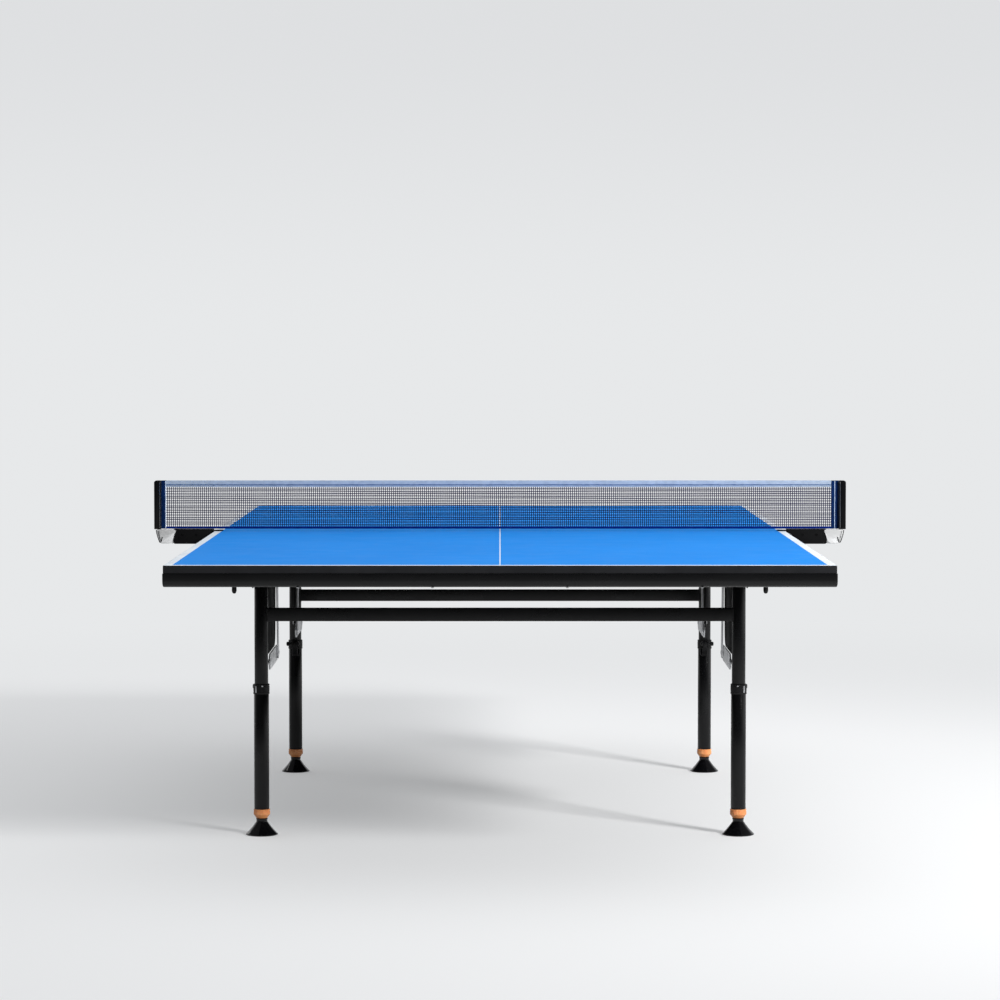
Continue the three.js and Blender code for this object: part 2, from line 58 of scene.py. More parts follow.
DARK_CEILING = (0.12, 0.12, 0.125)  # what gloss shows overhead
AWAY_FROM_CAMERA = (0.4, 0.92, 0)
FLOOR_GLOW = 0.34  # share of the near floor's brightness that is its own
GLOW_UNSEEN = 0.3  # how much of that reaches anything but the camera
FADE = (1.7, 5.8)  # distances over which the floor fades into the backdrop
FLOOR_RADIUS = 70
KEY_PLACE = (5.6, -6.0, 4.35)

MM = 0.001
TAU = 2 * math.pi
JOINTS = {joint["name"]: joint for joint in frame["joints"]}


def in_mm(corners):
    return [corner / MM for corner in corners]


# ---- Places read from the frame, in millimetres ----
BOARD_LOW, BOARD_HIGH = in_mm(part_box("near_board"))
APRON_LOW, APRON_HIGH = in_mm(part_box("near_apron"))
NET_LOW, NET_HIGH = in_mm(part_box("net"))
POST_LOW, POST_HIGH = in_mm(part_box("right_net_post"))
ARM_LOW, ARM_HIGH = in_mm(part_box("right_net_arm"))
CLIP_HIGH = in_mm(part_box("right_net_post_clip"))[1]
SURFACE = BOARD_HIGH.z
HINGE = JOINTS["far_legs_fold"]["pos_m"][2] / MM
LEG_Y = JOINTS["far_legs_fold"]["pos_m"][1] / MM
LEG_X = {end: JOINTS[f"{end}_right_stay_link_swing"]["pos_m"][0] / MM for end in ("near", "far")}
ENDS = {"near": -1, "far": 1}
SIDES = {"left": -1, "right": 1}


# ======== Camera and studio ========
def make_camera():
    """A long lens a little above the playing surface, square on to the near end."""
    camera = bpy.data.objects.new("camera", bpy.data.cameras.new("camera"))
    bpy.context.scene.collection.objects.link(camera)
    camera.data.sensor_width = 36
    camera.data.lens = 119.1
    camera.data.clip_end = 200
    camera.location = (0.0, -8.83, 1.231)
    camera.rotation_euler = (math.radians(90 - 2.745), 0, 0)
    bpy.context.scene.camera = camera


def area_light(name, location, target, size, watts, tint=(1, 1, 1)):
    light = bpy.data.lights.new(name, "AREA")
    light.shape = "RECTANGLE"
    light.size, light.size_y = size
    light.energy = watts
    light.color = tint
    lamp = bpy.data.objects.new(name, light)
    bpy.context.scene.collection.objects.link(lamp)
    lamp.location = location
    direction = Vector(target) - Vector(location)
    lamp.rotation_euler = direction.to_track_quat("-Z", "Y").to_euler()
    return lamp


def make_studio():
    """A pale backdrop, one soft key light from the right, and a thin strip light behind on the left. What
    lights the table and what it mirrors are darker on the camera's side, and gloss shows a small glint in
    the key's place."""
    world = bpy.data.worlds.new("studio")
    bpy.context.scene.world = world
    world.use_nodes = True
    tree = world.node_tree
    direction = node(tree, "ShaderNodeTexCoord").outputs["Generated"]
    height = node(tree, "ShaderNodeSeparateXYZ", {"Vector": direction}).outputs["Z"]
    seen = blend_colours(tree, ramp(tree, height, 0.0, 0.1), BACKDROP, BACKDROP_ABOVE)
    away = node(tree, "ShaderNodeVectorMath", {0: direction, 1: AWAY_FROM_CAMERA}, operation="DOT_PRODUCT")
    depth = ramp(tree, away.outputs["Value"], -0.7, 0.5)
    lighting = blend_colours(tree, depth, DARK_SIDE, BRIGHT_SIDE)
    mirrored = blend_colours(tree, depth, DARK_MIRRORED, BRIGHT_SIDE)
    mirrored = blend_colours(tree, ramp(tree, height, 0.3, 0.6), mirrored, DARK_CEILING)
    ray = node(tree, "ShaderNodeLightPath").outputs
    surroundings = blend_colours(tree, ray["Is Glossy Ray"], lighting, mirrored)
    colour = blend_colours(tree, ray["Is Camera Ray"], surroundings, seen)
    tree.links.new(colour, tree.nodes["Background"].inputs["Color"])
    key = area_light("key", KEY_PLACE, (0.2, 1.5, 0), (1.7, 1.7), 146, (1, 0.995, 0.985))
    key.data.spread = math.radians(66)
    key.visible_glossy = False
    area_light("glint", KEY_PLACE, (0.2, 0, 0), (0.9, 0.9), 16)
    area_light("strip", (-2.9, 2.0, 2.2), (-0.6, -0.6, 0), (0.06, 1.0), 1.5)
    disc = bmesh.new()
    bmesh.ops.create_circle(disc, cap_ends=True, segments=96, radius=FLOOR_RADIUS)
    floor = object_from(disc, "floor")
    floor.data.materials.append(floor_material())
    bpy.context.scene.view_settings.view_transform = "Standard"


# ======== Mesh building ========
def object_from(bm, name):
    mesh = bpy.data.meshes.new(name)
    bm.to_mesh(mesh)
    bm.free()
    piece = bpy.data.objects.new(name, mesh)
    bpy.context.scene.collection.objects.link(piece)
    return piece


def between(a, b):
    return (min(a, b), max(a, b))


def inward(span, inset):
    return (span[0] + inset, span[1] - inset)


def arc(centre, radius, start, end, steps):
    """Points on an arc, from start to end in degrees."""
    angles = np.radians(np.linspace(start, end, steps + 1))
    return [(centre[0] + radius * math.cos(a), centre[1] + radius * math.sin(a)) for a in angles]


def rounded_box(u, v, radius, steps=4):
    """A rectangle's outline, from u = (low, high) and v = (low, high), with round corners."""
    r = radius
    return (
        arc((u[1] - r, v[0] + r), r, -90, 0, steps)
        + arc((u[1] - r, v[1] - r), r, 0, 90, steps)
        + arc((u[0] + r, v[1] - r), r, 90, 180, steps)
        + arc((u[0] + r, v[0] + r), r, 180, 270, steps)
    )


def link_outline(a, b, radius, steps=12):
    """A bar with round ends between two points."""
    angle = math.degrees(math.atan2(b[1] - a[1], b[0] - a[0]))
    return arc(a, radius, angle + 90, angle + 270, steps) + arc(b, radius, angle - 90, angle + 90, steps)


SHARP_TURN = 28  # degrees by which an edge has to turn to be rounded
PLANES = {
    "yz": lambda u, v, w: (w, u, v),
    "xz": lambda u, v, w: (u, w, v),
    "xy": lambda u, v, w: (u, v, w),
}


def bridge(bm, loops, closed):
    """Faces between each loop of vertices and the next, and from the last to the first if it is closed."""
    count = len(loops[0])
    for low, high in zip(loops, loops[1:] + (loops[:1] if closed else [])):
        for i in range(count):
            j = (i + 1) % count
            bm.faces.new((low[i], low[j], high[j], high[i]))


def add_rings(bm, rings, closed_path=False):
    """Adds a surface through rings of points, closed on itself or with flat ends."""
    loops = [[bm.verts.new(point) for point in ring] for ring in rings]
    bridge(bm, loops, closed_path)
    if not closed_path:
        bm.faces.new(loops[0][::-1])
        bm.faces.new(loops[-1])


def skin(rings, closed_path=False):
    bm = bmesh.new()
    add_rings(bm, rings, closed_path)
    bmesh.ops.recalc_face_normals(bm, faces=bm.faces)
    return bm


def prism(outline, span, plane, bevel, segments=2):
    """A plate or block between two depths of a plane, with its sharp edges rounded."""
    place = PLANES[plane]
    bm = skin([[place(u, v, w) for u, v in outline] for w in span])
    sharp = [
        e for e in bm.edges if len(e.link_faces) == 2 and math.degrees(e.calc_face_angle(0)) > SHARP_TURN
    ]
    bmesh.ops.bevel(
        bm, geom=sharp, offset=bevel, segments=segments, profile=0.5, affect="EDGES", clamp_overlap=True,
    )
    return bm


def box(x, y, z, bevel):
    return prism([(x[0], y[0]), (x[1], y[0]), (x[1], y[1]), (x[0], y[1])], z, "xy", bevel)


AXES = {
    "x": lambda r, a, h: (h, r * math.cos(a), r * math.sin(a)),
    "y": lambda r, a, h: (r * math.sin(a), h, r * math.cos(a)),
    "z": lambda r, a, h: (r * math.cos(a), r * math.sin(a), h),
}


def revolve(profile, axis="z", centre=(0, 0, 0), sides=48, ripple=None):
    """Turns [radius, height] pairs about an axis. A profile that starts and ends on the axis is solid,
    any other closes on itself. ripple is (count, depth, radius beyond which it shows)."""
    place = AXES[axis]
    solid = profile[0][0] == 0 and profile[-1][0] == 0
    bm = bmesh.new()
    loops = []
    for r, h in profile[1:-1] if solid else profile:
        loop = []
        for i in range(sides):
            a = TAU * i / sides
            grow = ripple[1] * math.cos(ripple[0] * a) if ripple and r > ripple[2] else 0
            loop.append(bm.verts.new(Vector(place(r + grow, a, h)) + Vector(centre)))
        loops.append(loop)
    bridge(bm, loops, not solid)
    if solid:
        for loop, (_, h) in ((loops[0], profile[0]), (loops[-1], profile[-1])):
            tip = bm.verts.new(Vector(place(0, 0, h)) + Vector(centre))
            for i in range(sides):
                bm.faces.new((loop[i], loop[(i + 1) % sides], tip))
    bmesh.ops.recalc_face_normals(bm, faces=bm.faces)
    return bm


def cylinder(axis, radius, span, centre=(0, 0), chamfer=0.6, sides=32):
    """A bar along an axis with chamfered ends; centre is its place on the other two axes."""
    a, b = span
    c = min(chamfer, radius / 2, abs(b - a) / 3)
    profile = [(0, a), (radius - c, a), (radius, a + c), (radius, b - c), (radius - c, b), (0, b)]
    at = {"x": (0, *centre), "y": (centre[0], 0, centre[1]), "z": (*centre, 0)}[axis]
    return revolve(profile, axis, at, sides)


def oval(centre, wide, deep, sides):
    """Points round a centre; wide and deep are the vectors of its two half widths."""
    angles = [TAU * k / sides for k in range(sides)]
    return [centre + math.cos(a) * wide + math.sin(a) * deep for a in angles]


def wire(points, radius, sides=10):
    """A round wire through points, with closed ends."""
    path = [Vector(p) for p in points]
    rings = []
    normal = Vector((0, 0, 1))
    for i, p in enumerate(path):
        along = (path[min(i + 1, len(path) - 1)] - path[max(i - 1, 0)]).normalized()
        normal = normal - along * normal.dot(along)
        if normal.length < 1e-3:
            normal = along.orthogonal()
        normal.normalize()
        rings.append(oval(p, radius * normal, radius * along.cross(normal), sides))
    return skin(rings)


def fastener(shape, centre, axis, outward, sides):
    """A head or nut turned from [radius, height] pairs; outward is the way it faces along its axis."""
    return revolve([(r, h * outward) for r, h in shape], axis, centre, sides)


def screw_head(centre, axis, radius, outward):
    """A low domed head with a socket."""
    dome = [(0, 0), (1, 0), (1, 0.25), (0.9, 0.42), (0.68, 0.55), (0.45, 0.6)]
    socket = [(0.42, 0.56), (0.42, 0.15), (0, 0.15)]
    return fastener([(radius * r, radius * h) for r, h in dome + socket], centre, axis, outward, 24)


def screws_below(places, radius):
    return merged(*[screw_head(place, "z", radius, -1) for place in places])


def rivet(centre, axis, radius, outward):
    """A low domed rivet head on a thin washer."""
    shape = [(0, 0), (1, 0), (1, 0.5), (0.82, 0.6), (0.72, 1.2), (0.45, 1.75), (0, 1.95)]
    return fastener([(radius * r, h) for r, h in shape], centre, axis, outward, 28)


def riveted(pivot, span, *heads):
    """A pin along X through a pivot, and its heads, each an x, a radius and the way it faces."""
    pin = cylinder("x", 4, span, pivot)
    return [pin] + [rivet((x, *pivot), "x", radius, outward) for x, radius, outward in heads]


def hex_nut(centre, axis, radius, height, outward):
    """A nut with chamfered corners."""
    shape = [(0, 0), (radius, 0), (radius, 0.82 * height), (0.86 * radius, height), (0, height)]
    return fastener(shape, centre, axis, outward, 6)


def merged(*parts):
    """One mesh from several, each of which is freed."""
    whole = bmesh.new()
    for part in parts:
        scratch = bpy.data.meshes.new("scratch")
        part.to_mesh(scratch)
        part.free()
        whole.from_mesh(scratch)
        bpy.data.meshes.remove(scratch)
    return whole


def settle(piece, matrix, sharp_angle):
    """Puts a millimetre mesh in its place in the frame, in metres, with smooth shading."""
    mesh = piece.data
    mesh.transform(matrix @ Matrix.Scale(MM, 4))
    if matrix.determinant() < 0:
        mesh.flip_normals()
    mesh.polygons.foreach_set("use_smooth", [True] * len(mesh.polygons))
    mesh.set_sharp_from_angle(angle=math.radians(sharp_angle))
    return piece


def add(name, bm, look, body="frame", replaced=None, matrix=Matrix.Identity(4), sharp_angle=35):
    """Makes a finished piece: placed, riding on its body, with its slot's material."""
    piece = settle(object_from(bm, name), matrix, sharp_angle)
    slot, material = LOOKS[look]
    piece.data.materials.append(material)
    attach(piece, body)
    if replaced:
        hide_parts(replaced)
    return piece


def maker(prefix, place):
    """Gives a function that adds the pieces of one corner or one net end, put or mirrored into place."""
    def make(name, bm, look, body="frame", replaced=None, sharp_angle=50):
        cad_node = f"{prefix}_{replaced}" if replaced else None
        return add(f"{prefix}_{name}", bm, look, body, cad_node, place, sharp_angle)
    return make


# ======== Materials ========
FLECK_SCALE = 2600
WEAR_SCALE = 45
ROUGH_SCALE = 14
WORN_LEAN = (0.93, 0.6)  # a rounded normal's cosine to the true one, from unworn to wholly worn


def node(tree, kind, inputs=(), **settings):
    """Adds a node. Each input is a value, or an output of another node that feeds it."""
    made = tree.nodes.new(kind)
    for name, value in settings.items():
        setattr(made, name, value)
    for name, value in dict(inputs).items():
        if isinstance(value, bpy.types.NodeSocket):
            tree.links.new(value, made.inputs[name])
        else:
            made.inputs[name].default_value = value
    return made


def mapped(tree, value, source, target=(0, 1), **settings):
    """Maps a value from one range to another."""
    ranges = {"From Min": source[0], "From Max": source[1], "To Min": target[0], "To Max": target[1]}
    return node(tree, "ShaderNodeMapRange", {"Value": value, **ranges}, **settings).outputs["Result"]


def ramp(tree, value, start, end, target=(0, 1)):
    """Runs smoothly over the target's range as a value goes from start to end."""
    return mapped(tree, value, (start, end), target, interpolation_type="SMOOTHSTEP")


def mottle(tree, coords, scale, target, detail=4, spread=(0.35, 0.65)):
    """A noise that wanders over the target's range."""
    noise = node(tree, "ShaderNodeTexNoise", {"Vector": coords, "Scale": scale, "Detail": detail})
    return mapped(tree, noise.outputs["Fac"], spread, target)


def multiplied(tree, first, second):
    return node(tree, "ShaderNodeMath", {0: first, 1: second}, operation="MULTIPLY").outputs["Value"]


def blend_colours(tree, factor, first, second):
    """Mixes two colours, each a tuple or a socket, by a factor socket."""
    mix = node(tree, "ShaderNodeMix", {"Factor": factor}, data_type="RGBA")
    for socket, value in (("A", first), ("B", second)):
        target = next(i for i in mix.inputs if i.name == socket and i.type == "RGBA")
        if isinstance(value, tuple):
            target.default_value = (*value, 1)
        else:
            tree.links.new(value, target)
    return next(o for o in mix.outputs if o.type == "RGBA")


def edge_mask(tree, radius):
    """1 on worn edges and 0 on flats: how far a rounded normal leans from the true one."""
    rounded = node(tree, "ShaderNodeBevel", {"Radius": radius}, samples=4).outputs["Normal"]
    true_normal = node(tree, "ShaderNodeNewGeometry").outputs["True Normal"]
    lean = node(tree, "ShaderNodeVectorMath", {0: rounded, 1: true_normal}, operation="DOT_PRODUCT")
    return mapped(tree, lean.outputs["Value"], WORN_LEAN)


def blank(name):
    """A new material, its node tree and its shader."""
    material = bpy.data.materials.new(name)
    material.use_nodes = True
    return material, material.node_tree, material.node_tree.nodes["Principled BSDF"]


def raise_bump(tree, shader, height, strength, distance):
    """Bumps a shader by a height, on top of the bumps that it has."""
    inputs = {"Height": height, "Strength": strength, "Distance": distance}
    socket = shader.inputs["Normal"]
    if socket.is_linked:
        inputs["Normal"] = socket.links[0].from_socket
    tree.links.new(node(tree, "ShaderNodeBump", inputs).outputs["Normal"], socket)


def surface(name, dark, light, rough, blotch, bump=(), edge=None, grit=0, **sockets):
    """A material whose colour wanders between two tones, in blotches of a scale, and whose roughness
    wanders between two values. bump is [(scale, strength, distance in metres), ...], edge is (radius,
    colour, amount) of wear, and grit is the strength of pale flecks."""
    material, tree, shader = blank(name)
    for socket, value in sockets.items():
        shader.inputs[socket.replace("_", " ")].default_value = value
    coords = node(tree, "ShaderNodeTexCoord").outputs["Object"]
    colour = blend_colours(tree, mottle(tree, coords, blotch, (0, 1)), dark, light)
    if grit:
        fleck = mottle(tree, coords, FLECK_SCALE, (0, grit), 2, (0.5, 0.8))
        colour = blend_colours(tree, fleck, colour, tuple(min(1, 4 * c + 0.02) for c in light))
    if edge:
        radius, worn, amount = edge
        patchy = multiplied(tree, edge_mask(tree, radius), mottle(tree, coords, WEAR_SCALE, (0, amount), 6))
        colour = blend_colours(tree, patchy, colour, worn)
    tree.links.new(colour, shader.inputs["Base Color"])
    roughness = mottle(tree, coords, ROUGH_SCALE, rough, 5, (0.3, 0.7))
    tree.links.new(roughness, shader.inputs["Roughness"])
    for scale, strength, distance in bump:
        height = mottle(tree, coords, scale, (0, 1), 3, (0.25, 0.75))
        raise_bump(tree, shader, height, strength, distance)
    return material


def webbing(name, dark, light, pitch, sheen):
    """Woven tape: ribs across and along it, in two close tones of yarn."""
    material = surface(
        name, dark, light, (0.72, 0.9), 60,
        Sheen_Weight=sheen, Sheen_Roughness=0.4, Specular_IOR_Level=0.12,
    )
    tree = material.node_tree
    ribs = {"Vector": node(tree, "ShaderNodeTexCoord").outputs["Object"], "Scale": TAU / 20 / (pitch * MM)}
    across, along = (
        node(tree, "ShaderNodeTexWave", ribs, bands_direction=way).outputs["Fac"] for way in ("X", "Z")
    )
    raise_bump(tree, tree.nodes["Principled BSDF"], multiplied(tree, across, along), 0.6, 0.0003)
    return material


def brushed(name, dark, light, rough, metallic=1.0):
    """Plated or polished metal with fine drawn lines along the table and cloudy tone."""
    material = surface(name, dark, light, rough, 25, Metallic=metallic)
    tree = material.node_tree
    coords = node(tree, "ShaderNodeTexCoord").outputs["Object"]
    stretched = node(tree, "ShaderNodeMapping", {"Vector": coords, "Scale": (700, 40, 700)}).outputs["Vector"]
    lines = node(tree, "ShaderNodeTexNoise", {"Vector": stretched, "Scale": 1.0, "Detail": 3.0})
    raise_bump(tree, tree.nodes["Principled BSDF"], lines.outputs["Fac"], 0.12, 0.00005)
    return material


def floor_material():
    """A pale matte floor that fades into the backdrop's own brightness far from the table. What glows of
    it is mostly for the camera, so that it lights and shows in the table only a little."""
    material, tree, matte = blank("floor")
    matte.inputs["Base Color"].default_value = (0.86, 0.865, 0.875, 1)
    matte.inputs["Roughness"].default_value = 0.85
    to_camera = node(tree, "ShaderNodeLightPath").outputs["Is Camera Ray"]
    strength = mapped(tree, to_camera, (0, 1), (GLOW_UNSEEN, 1))
    glow = node(tree, "ShaderNodeEmission", {"Color": (*BACKDROP, 1), "Strength": strength})
    coords = node(tree, "ShaderNodeTexCoord").outputs["Object"]
    distance = node(tree, "ShaderNodeVectorMath", {0: coords}, operation="LENGTH").outputs["Value"]
    mix = node(tree, "ShaderNodeMixShader", {
        "Fac": ramp(tree, distance, *FADE, (FLOOR_GLOW, 1)),
        1: matte.outputs["BSDF"],
        2: glow.outputs["Emission"],
    })
    tree.links.new(mix.outputs["Shader"], tree.nodes["Material Output"].inputs["Surface"])
    return material


def make_looks():
    """Every finish of the table, as name: (the record's slot, material)."""
    paint_wear = (0.0006, (0.035, 0.035, 0.037), 0.5)
    return {
        "board": ("table_top", surface(
            "blue_coating", (0.012, 0.234, 0.742), (0.0135, 0.246, 0.768), (0.62, 0.72), 3,
            [(1500, 0.35, 0.00004), (220, 0.15, 0.00008)], grit=0.008, Specular_IOR_Level=0.02)),
        "line": ("table_top", surface(
            "line_paint", (0.66, 0.72, 0.79), (0.76, 0.81, 0.86), (0.6, 0.7), 9,
            [(1500, 0.3, 0.00004)], Specular_IOR_Level=0.1)),
        "board_edge": ("table_top", surface(
            "edge_sealer", (0.013, 0.0135, 0.015), (0.018, 0.0185, 0.0205), (0.55, 0.68), 12,
            [(420, 0.3, 0.0001), (1800, 0.25, 0.00003)], (0.0008, (0.06, 0.055, 0.05), 0.35),
            Specular_IOR_Level=0.12)),
        "steel": ("black_steel", surface(
            "powder_coat", (0.002, 0.0021, 0.0024), (0.003, 0.0031, 0.0035), (0.24, 0.34), 5,
            [(700, 0.25, 0.00004), (2400, 0.2, 0.00002)], paint_wear, 0.04, Specular_IOR_Level=0.33)),
        "flat_steel": ("black_steel", surface(
            "flat_powder_coat", (0.0055, 0.0056, 0.006), (0.0075, 0.0076, 0.008), (0.6, 0.75), 6,
            [(700, 0.3, 0.00005), (2400, 0.2, 0.00002)], paint_wear, 0.04, Specular_IOR_Level=0.03)),
        "weld": ("black_steel", surface(
            "weld_paint", (0.003, 0.003, 0.0034), (0.008, 0.008, 0.0085), (0.35, 0.5), 90,
            [(600, 0.5, 0.0002)], Specular_IOR_Level=0.3)),
        "plastic": ("black_plastic", surface(
            "moulded_black", (0.004, 0.004, 0.0046), (0.0065, 0.0066, 0.0072), (0.4, 0.55), 18,
            [(1300, 0.4, 0.00006)], (0.0007, (0.03, 0.03, 0.032), 0.3), Specular_IOR_Level=0.3)),
        "post": ("black_plastic", surface(
            "post_shell", (0.003, 0.003, 0.0035), (0.0045, 0.0045, 0.005), (0.3, 0.42), 20,
            [(1100, 0.25, 0.00004)], (0.0008, (0.04, 0.04, 0.043), 0.35), Specular_IOR_Level=0.18)),
        "foot": ("foot_plastic", surface(
            "foot_gloss", (0.002, 0.002, 0.0025), (0.003, 0.003, 0.0036), (0.07, 0.14), 22,
            [(300, 0.08, 0.0001)], (0.0008, (0.04, 0.04, 0.043), 0.3), Specular_IOR_Level=0.45)),
        "orange": ("orange_plastic", surface(
            "ring_orange", (0.66, 0.25, 0.09), (0.76, 0.33, 0.13), (0.28, 0.42), 30,
            [(900, 0.2, 0.00006)], (0.0007, (1.0, 0.52, 0.28), 0.5),
            Subsurface_Weight=0.08, Subsurface_Scale=0.003)),
        "zinc": ("zinc_steel", brushed(
            "zinc_plate", (0.62, 0.63, 0.65), (0.74, 0.75, 0.76), (0.32, 0.45))),
        "chrome": ("chrome", brushed(
            "bright_chrome", (0.8, 0.81, 0.82), (0.88, 0.885, 0.89), (0.1, 0.2), 0.5)),
        "thread": ("net_mesh", surface(
            "net_thread", (0.004, 0.006, 0.03), (0.013, 0.014, 0.055), (0.75, 0.92), 200,
            [(3500, 0.5, 0.0001)], Specular_IOR_Level=0.2)),
        "top_band": ("net_mesh", webbing(
            "pale_webbing", (0.28, 0.345, 0.45), (0.34, 0.41, 0.52), 1.1, 0.1)),
        # painted shadow: the bottom tape's saturated dark blue also stands for the net's shadow on the table
        # behind it
        "cord_and_shadow_band": ("net_mesh", webbing(
            "blue_webbing_and_painted_shadow", (0.001, 0.009, 0.11), (0.002, 0.014, 0.15), 0.9, 0)),
        "side_band": ("net_mesh", webbing(
            "navy_webbing", (0.002, 0.012, 0.055), (0.003, 0.018, 0.085), 1.1, 0)),
        "stripe": ("net_mesh", webbing(
            "stripe_webbing", (0.022, 0.06, 0.16), (0.035, 0.085, 0.21), 0.8, 0.05)),
        "stitch": ("net_mesh", surface(
            "pale_stitching", (0.35, 0.45, 0.62), (0.55, 0.65, 0.78), (0.7, 0.85), 300,
            [(4000, 0.5, 0.0001)])),
        "rubber": ("black_plastic", surface(
            "pad_rubber", (0.008, 0.008, 0.008), (0.014, 0.014, 0.014), (0.75, 0.9), 40,
            [(1600, 0.5, 0.0001)], Specular_IOR_Level=0.2)),
    }


# ======== More shapes ========
def sweep(profile, start, end, steps):
    """Carries a closed [radius, height] profile round Z from start to end in degrees, with flat ends."""
    angles = np.radians(np.linspace(start, end, steps + 1))
    return skin([[(r * math.cos(a), r * math.sin(a), h) for r, h in profile] for a in angles])


def framed(x, y, radius, section):
    """A closed section carried round a rectangle with rounded corners. Each of its points is an inset from
    the sides, an inset from the ends, and a height."""
    rings = []
    for side, end, height in section:
        around = rounded_box(inward(x, side), inward(y, end), max(radius - end, 1.5), 6)
        rings.append([(u, v, height) for u, v in around])
    return skin(rings, closed_path=True)


def box_tube(x, y, z, wall, radius):
    """A rounded rectangular tube along X, open at both ends."""
    edge = 0.5
    rings = []
    for inset, at in (
        (0, x[0] + edge), (0, x[1] - edge), (edge, x[1]), (wall, x[1]), (wall, x[0]), (edge, x[0]),
    ):
        around = rounded_box(inward(y, inset), inward(z, inset), max(radius - inset, 0.6))
        rings.append([(at, u, v) for u, v in around])
    return skin(rings, closed_path=True)


def round_tube(outer, inner, span):
    """A round tube along Z, open at both ends."""
    low, high = span
    edge = 0.5
    return revolve([
        (outer - edge, low), (outer, low + edge), (outer, high - edge), (outer - edge, high),
        (inner, high), (inner, low),
    ])


def weld_bead(path, radius, step):
    """A closed bead of weld along a loop of points, filled in to a step and rippled as it was laid."""
    points = denser(path, step)
    middle = sum(points, Vector()) / len(points)
    rings = []
    for i, p in enumerate(points):
        along = (points[(i + 1) % len(points)] - points[i - 1]).normalized()
        normal = p - middle
        normal = (normal - along * normal.dot(along)).normalized()
        r = radius * (1 + 0.14 * math.sin(2.3 * i))
        rings.append(oval(p, r * normal, r * along.cross(normal), 8))
    return skin(rings, closed_path=True)


def denser(path, step):
    """A closed path with points at most a step apart."""
    points = [Vector(p) for p in path]
    found = []
    for a, b in zip(points, points[1:] + points[:1]):
        count = max(1, round((b - a).length / step))
        found += [a.lerp(b, i / count) for i in range(count)]
    return found


def pressed(bm, direction, margin, depth):
    """Presses a shallow panel into the largest face that looks along a direction."""
    facing = [f for f in bm.faces if f.normal.dot(Vector(direction)) > 0.99]
    face = max(facing, key=lambda f: f.calc_area())
    bmesh.ops.inset_region(bm, faces=[face], thickness=margin, depth=0, use_even_offset=True)
    bmesh.ops.inset_region(bm, faces=[face], thickness=0.8, depth=-depth, use_even_offset=True)
    return bm


def threaded(radius, span, pitch, centre=(0, 0)):
    """A threaded rod along Z, its thread drawn as close rings."""
    low, high = span
    root = radius - 0.45
    profile = [(0, low)]
    for i in range(int((high - low) / pitch)):
        at = low + i * pitch
        profile += [(root, at), (radius, at + 0.5 * pitch)]
    profile += [(root, high), (0, high)]
    return revolve(profile, "z", (*centre, 0), 24)


# ======== Half boards and their frames ========
LINE_WIDTH = 20
CENTRE_LINE = 2.6
EDGE_ROUND = 1.8
APRON_WALL = 2
APRON_WIDTH = 22
APRON_CURVE = 17
SIDE_CURVE = 0.15  # the turn along the sides, as a share of the turn across the ends
RAIL_HEIGHT = 20
RAIL_HALF_WIDTH = 20
TAB_OFFSET = 31  # of the rail's end tabs, from its middle
TAB_HALF = 8
TAB_THICKNESS = 3
TUBE_RADIUS = 17
SEAM = 1
PROUD = APRON_HIGH.x - BOARD_HIGH.x
HALF_WIDTH = BOARD_HIGH.x
HALF_LENGTH = -BOARD_LOW.y


def add_board(end_name, end):
    """The coated panel: blue field, white lines and arris, dark sealed edge and underside."""
    y = between(end * SEAM, end * HALF_LENGTH)
    low, high, r = BOARD_LOW.z, BOARD_HIGH.z, EDGE_ROUND
    section = [(0.9, low), (0.2, low + 0.2), (0, low + 0.9), (0, high - r)]
    for a in np.radians([22.5, 45, 67.5, 90]):
        section.append((r * (1 - math.cos(a)), high - r + r * math.sin(a)))
    rings = []
    for inset, height in section:
        around = rounded_box(inward((-HALF_WIDTH, HALF_WIDTH), inset), inward(y, inset), 4, 5)
        rings.append([(u, v, height) for u, v in around])
    bm = skin(rings)
    line_x = HALF_WIDTH - LINE_WIDTH
    line_y = HALF_LENGTH - LINE_WIDTH
    cuts = [((at, 0, 0), (1, 0, 0)) for at in (-line_x, -CENTRE_LINE / 2, CENTRE_LINE / 2, line_x)]
    cuts.append(((0, end * line_y, 0), (0, 1, 0)))
    for place, normal in cuts:
        every = bm.verts[:] + bm.edges[:] + bm.faces[:]
        bmesh.ops.bisect_plane(bm, geom=every, plane_co=place, plane_no=normal)
    blue, white, dark = 0, 1, 2
    for face in bm.faces:
        middle = face.calc_center_median()
        if middle.z < high - 0.12 * r:
            face.material_index = dark
        elif abs(middle.x) > line_x or abs(middle.x) < CENTRE_LINE / 2 or abs(middle.y) > line_y:
            face.material_index = white
        else:
            face.material_index = blue
    piece = add(f"{end_name}_panel", bm, "board", "frame", f"{end_name}_board")
    for name in ("line", "board_edge"):
        piece.data.materials.append(LOOKS[name][1])


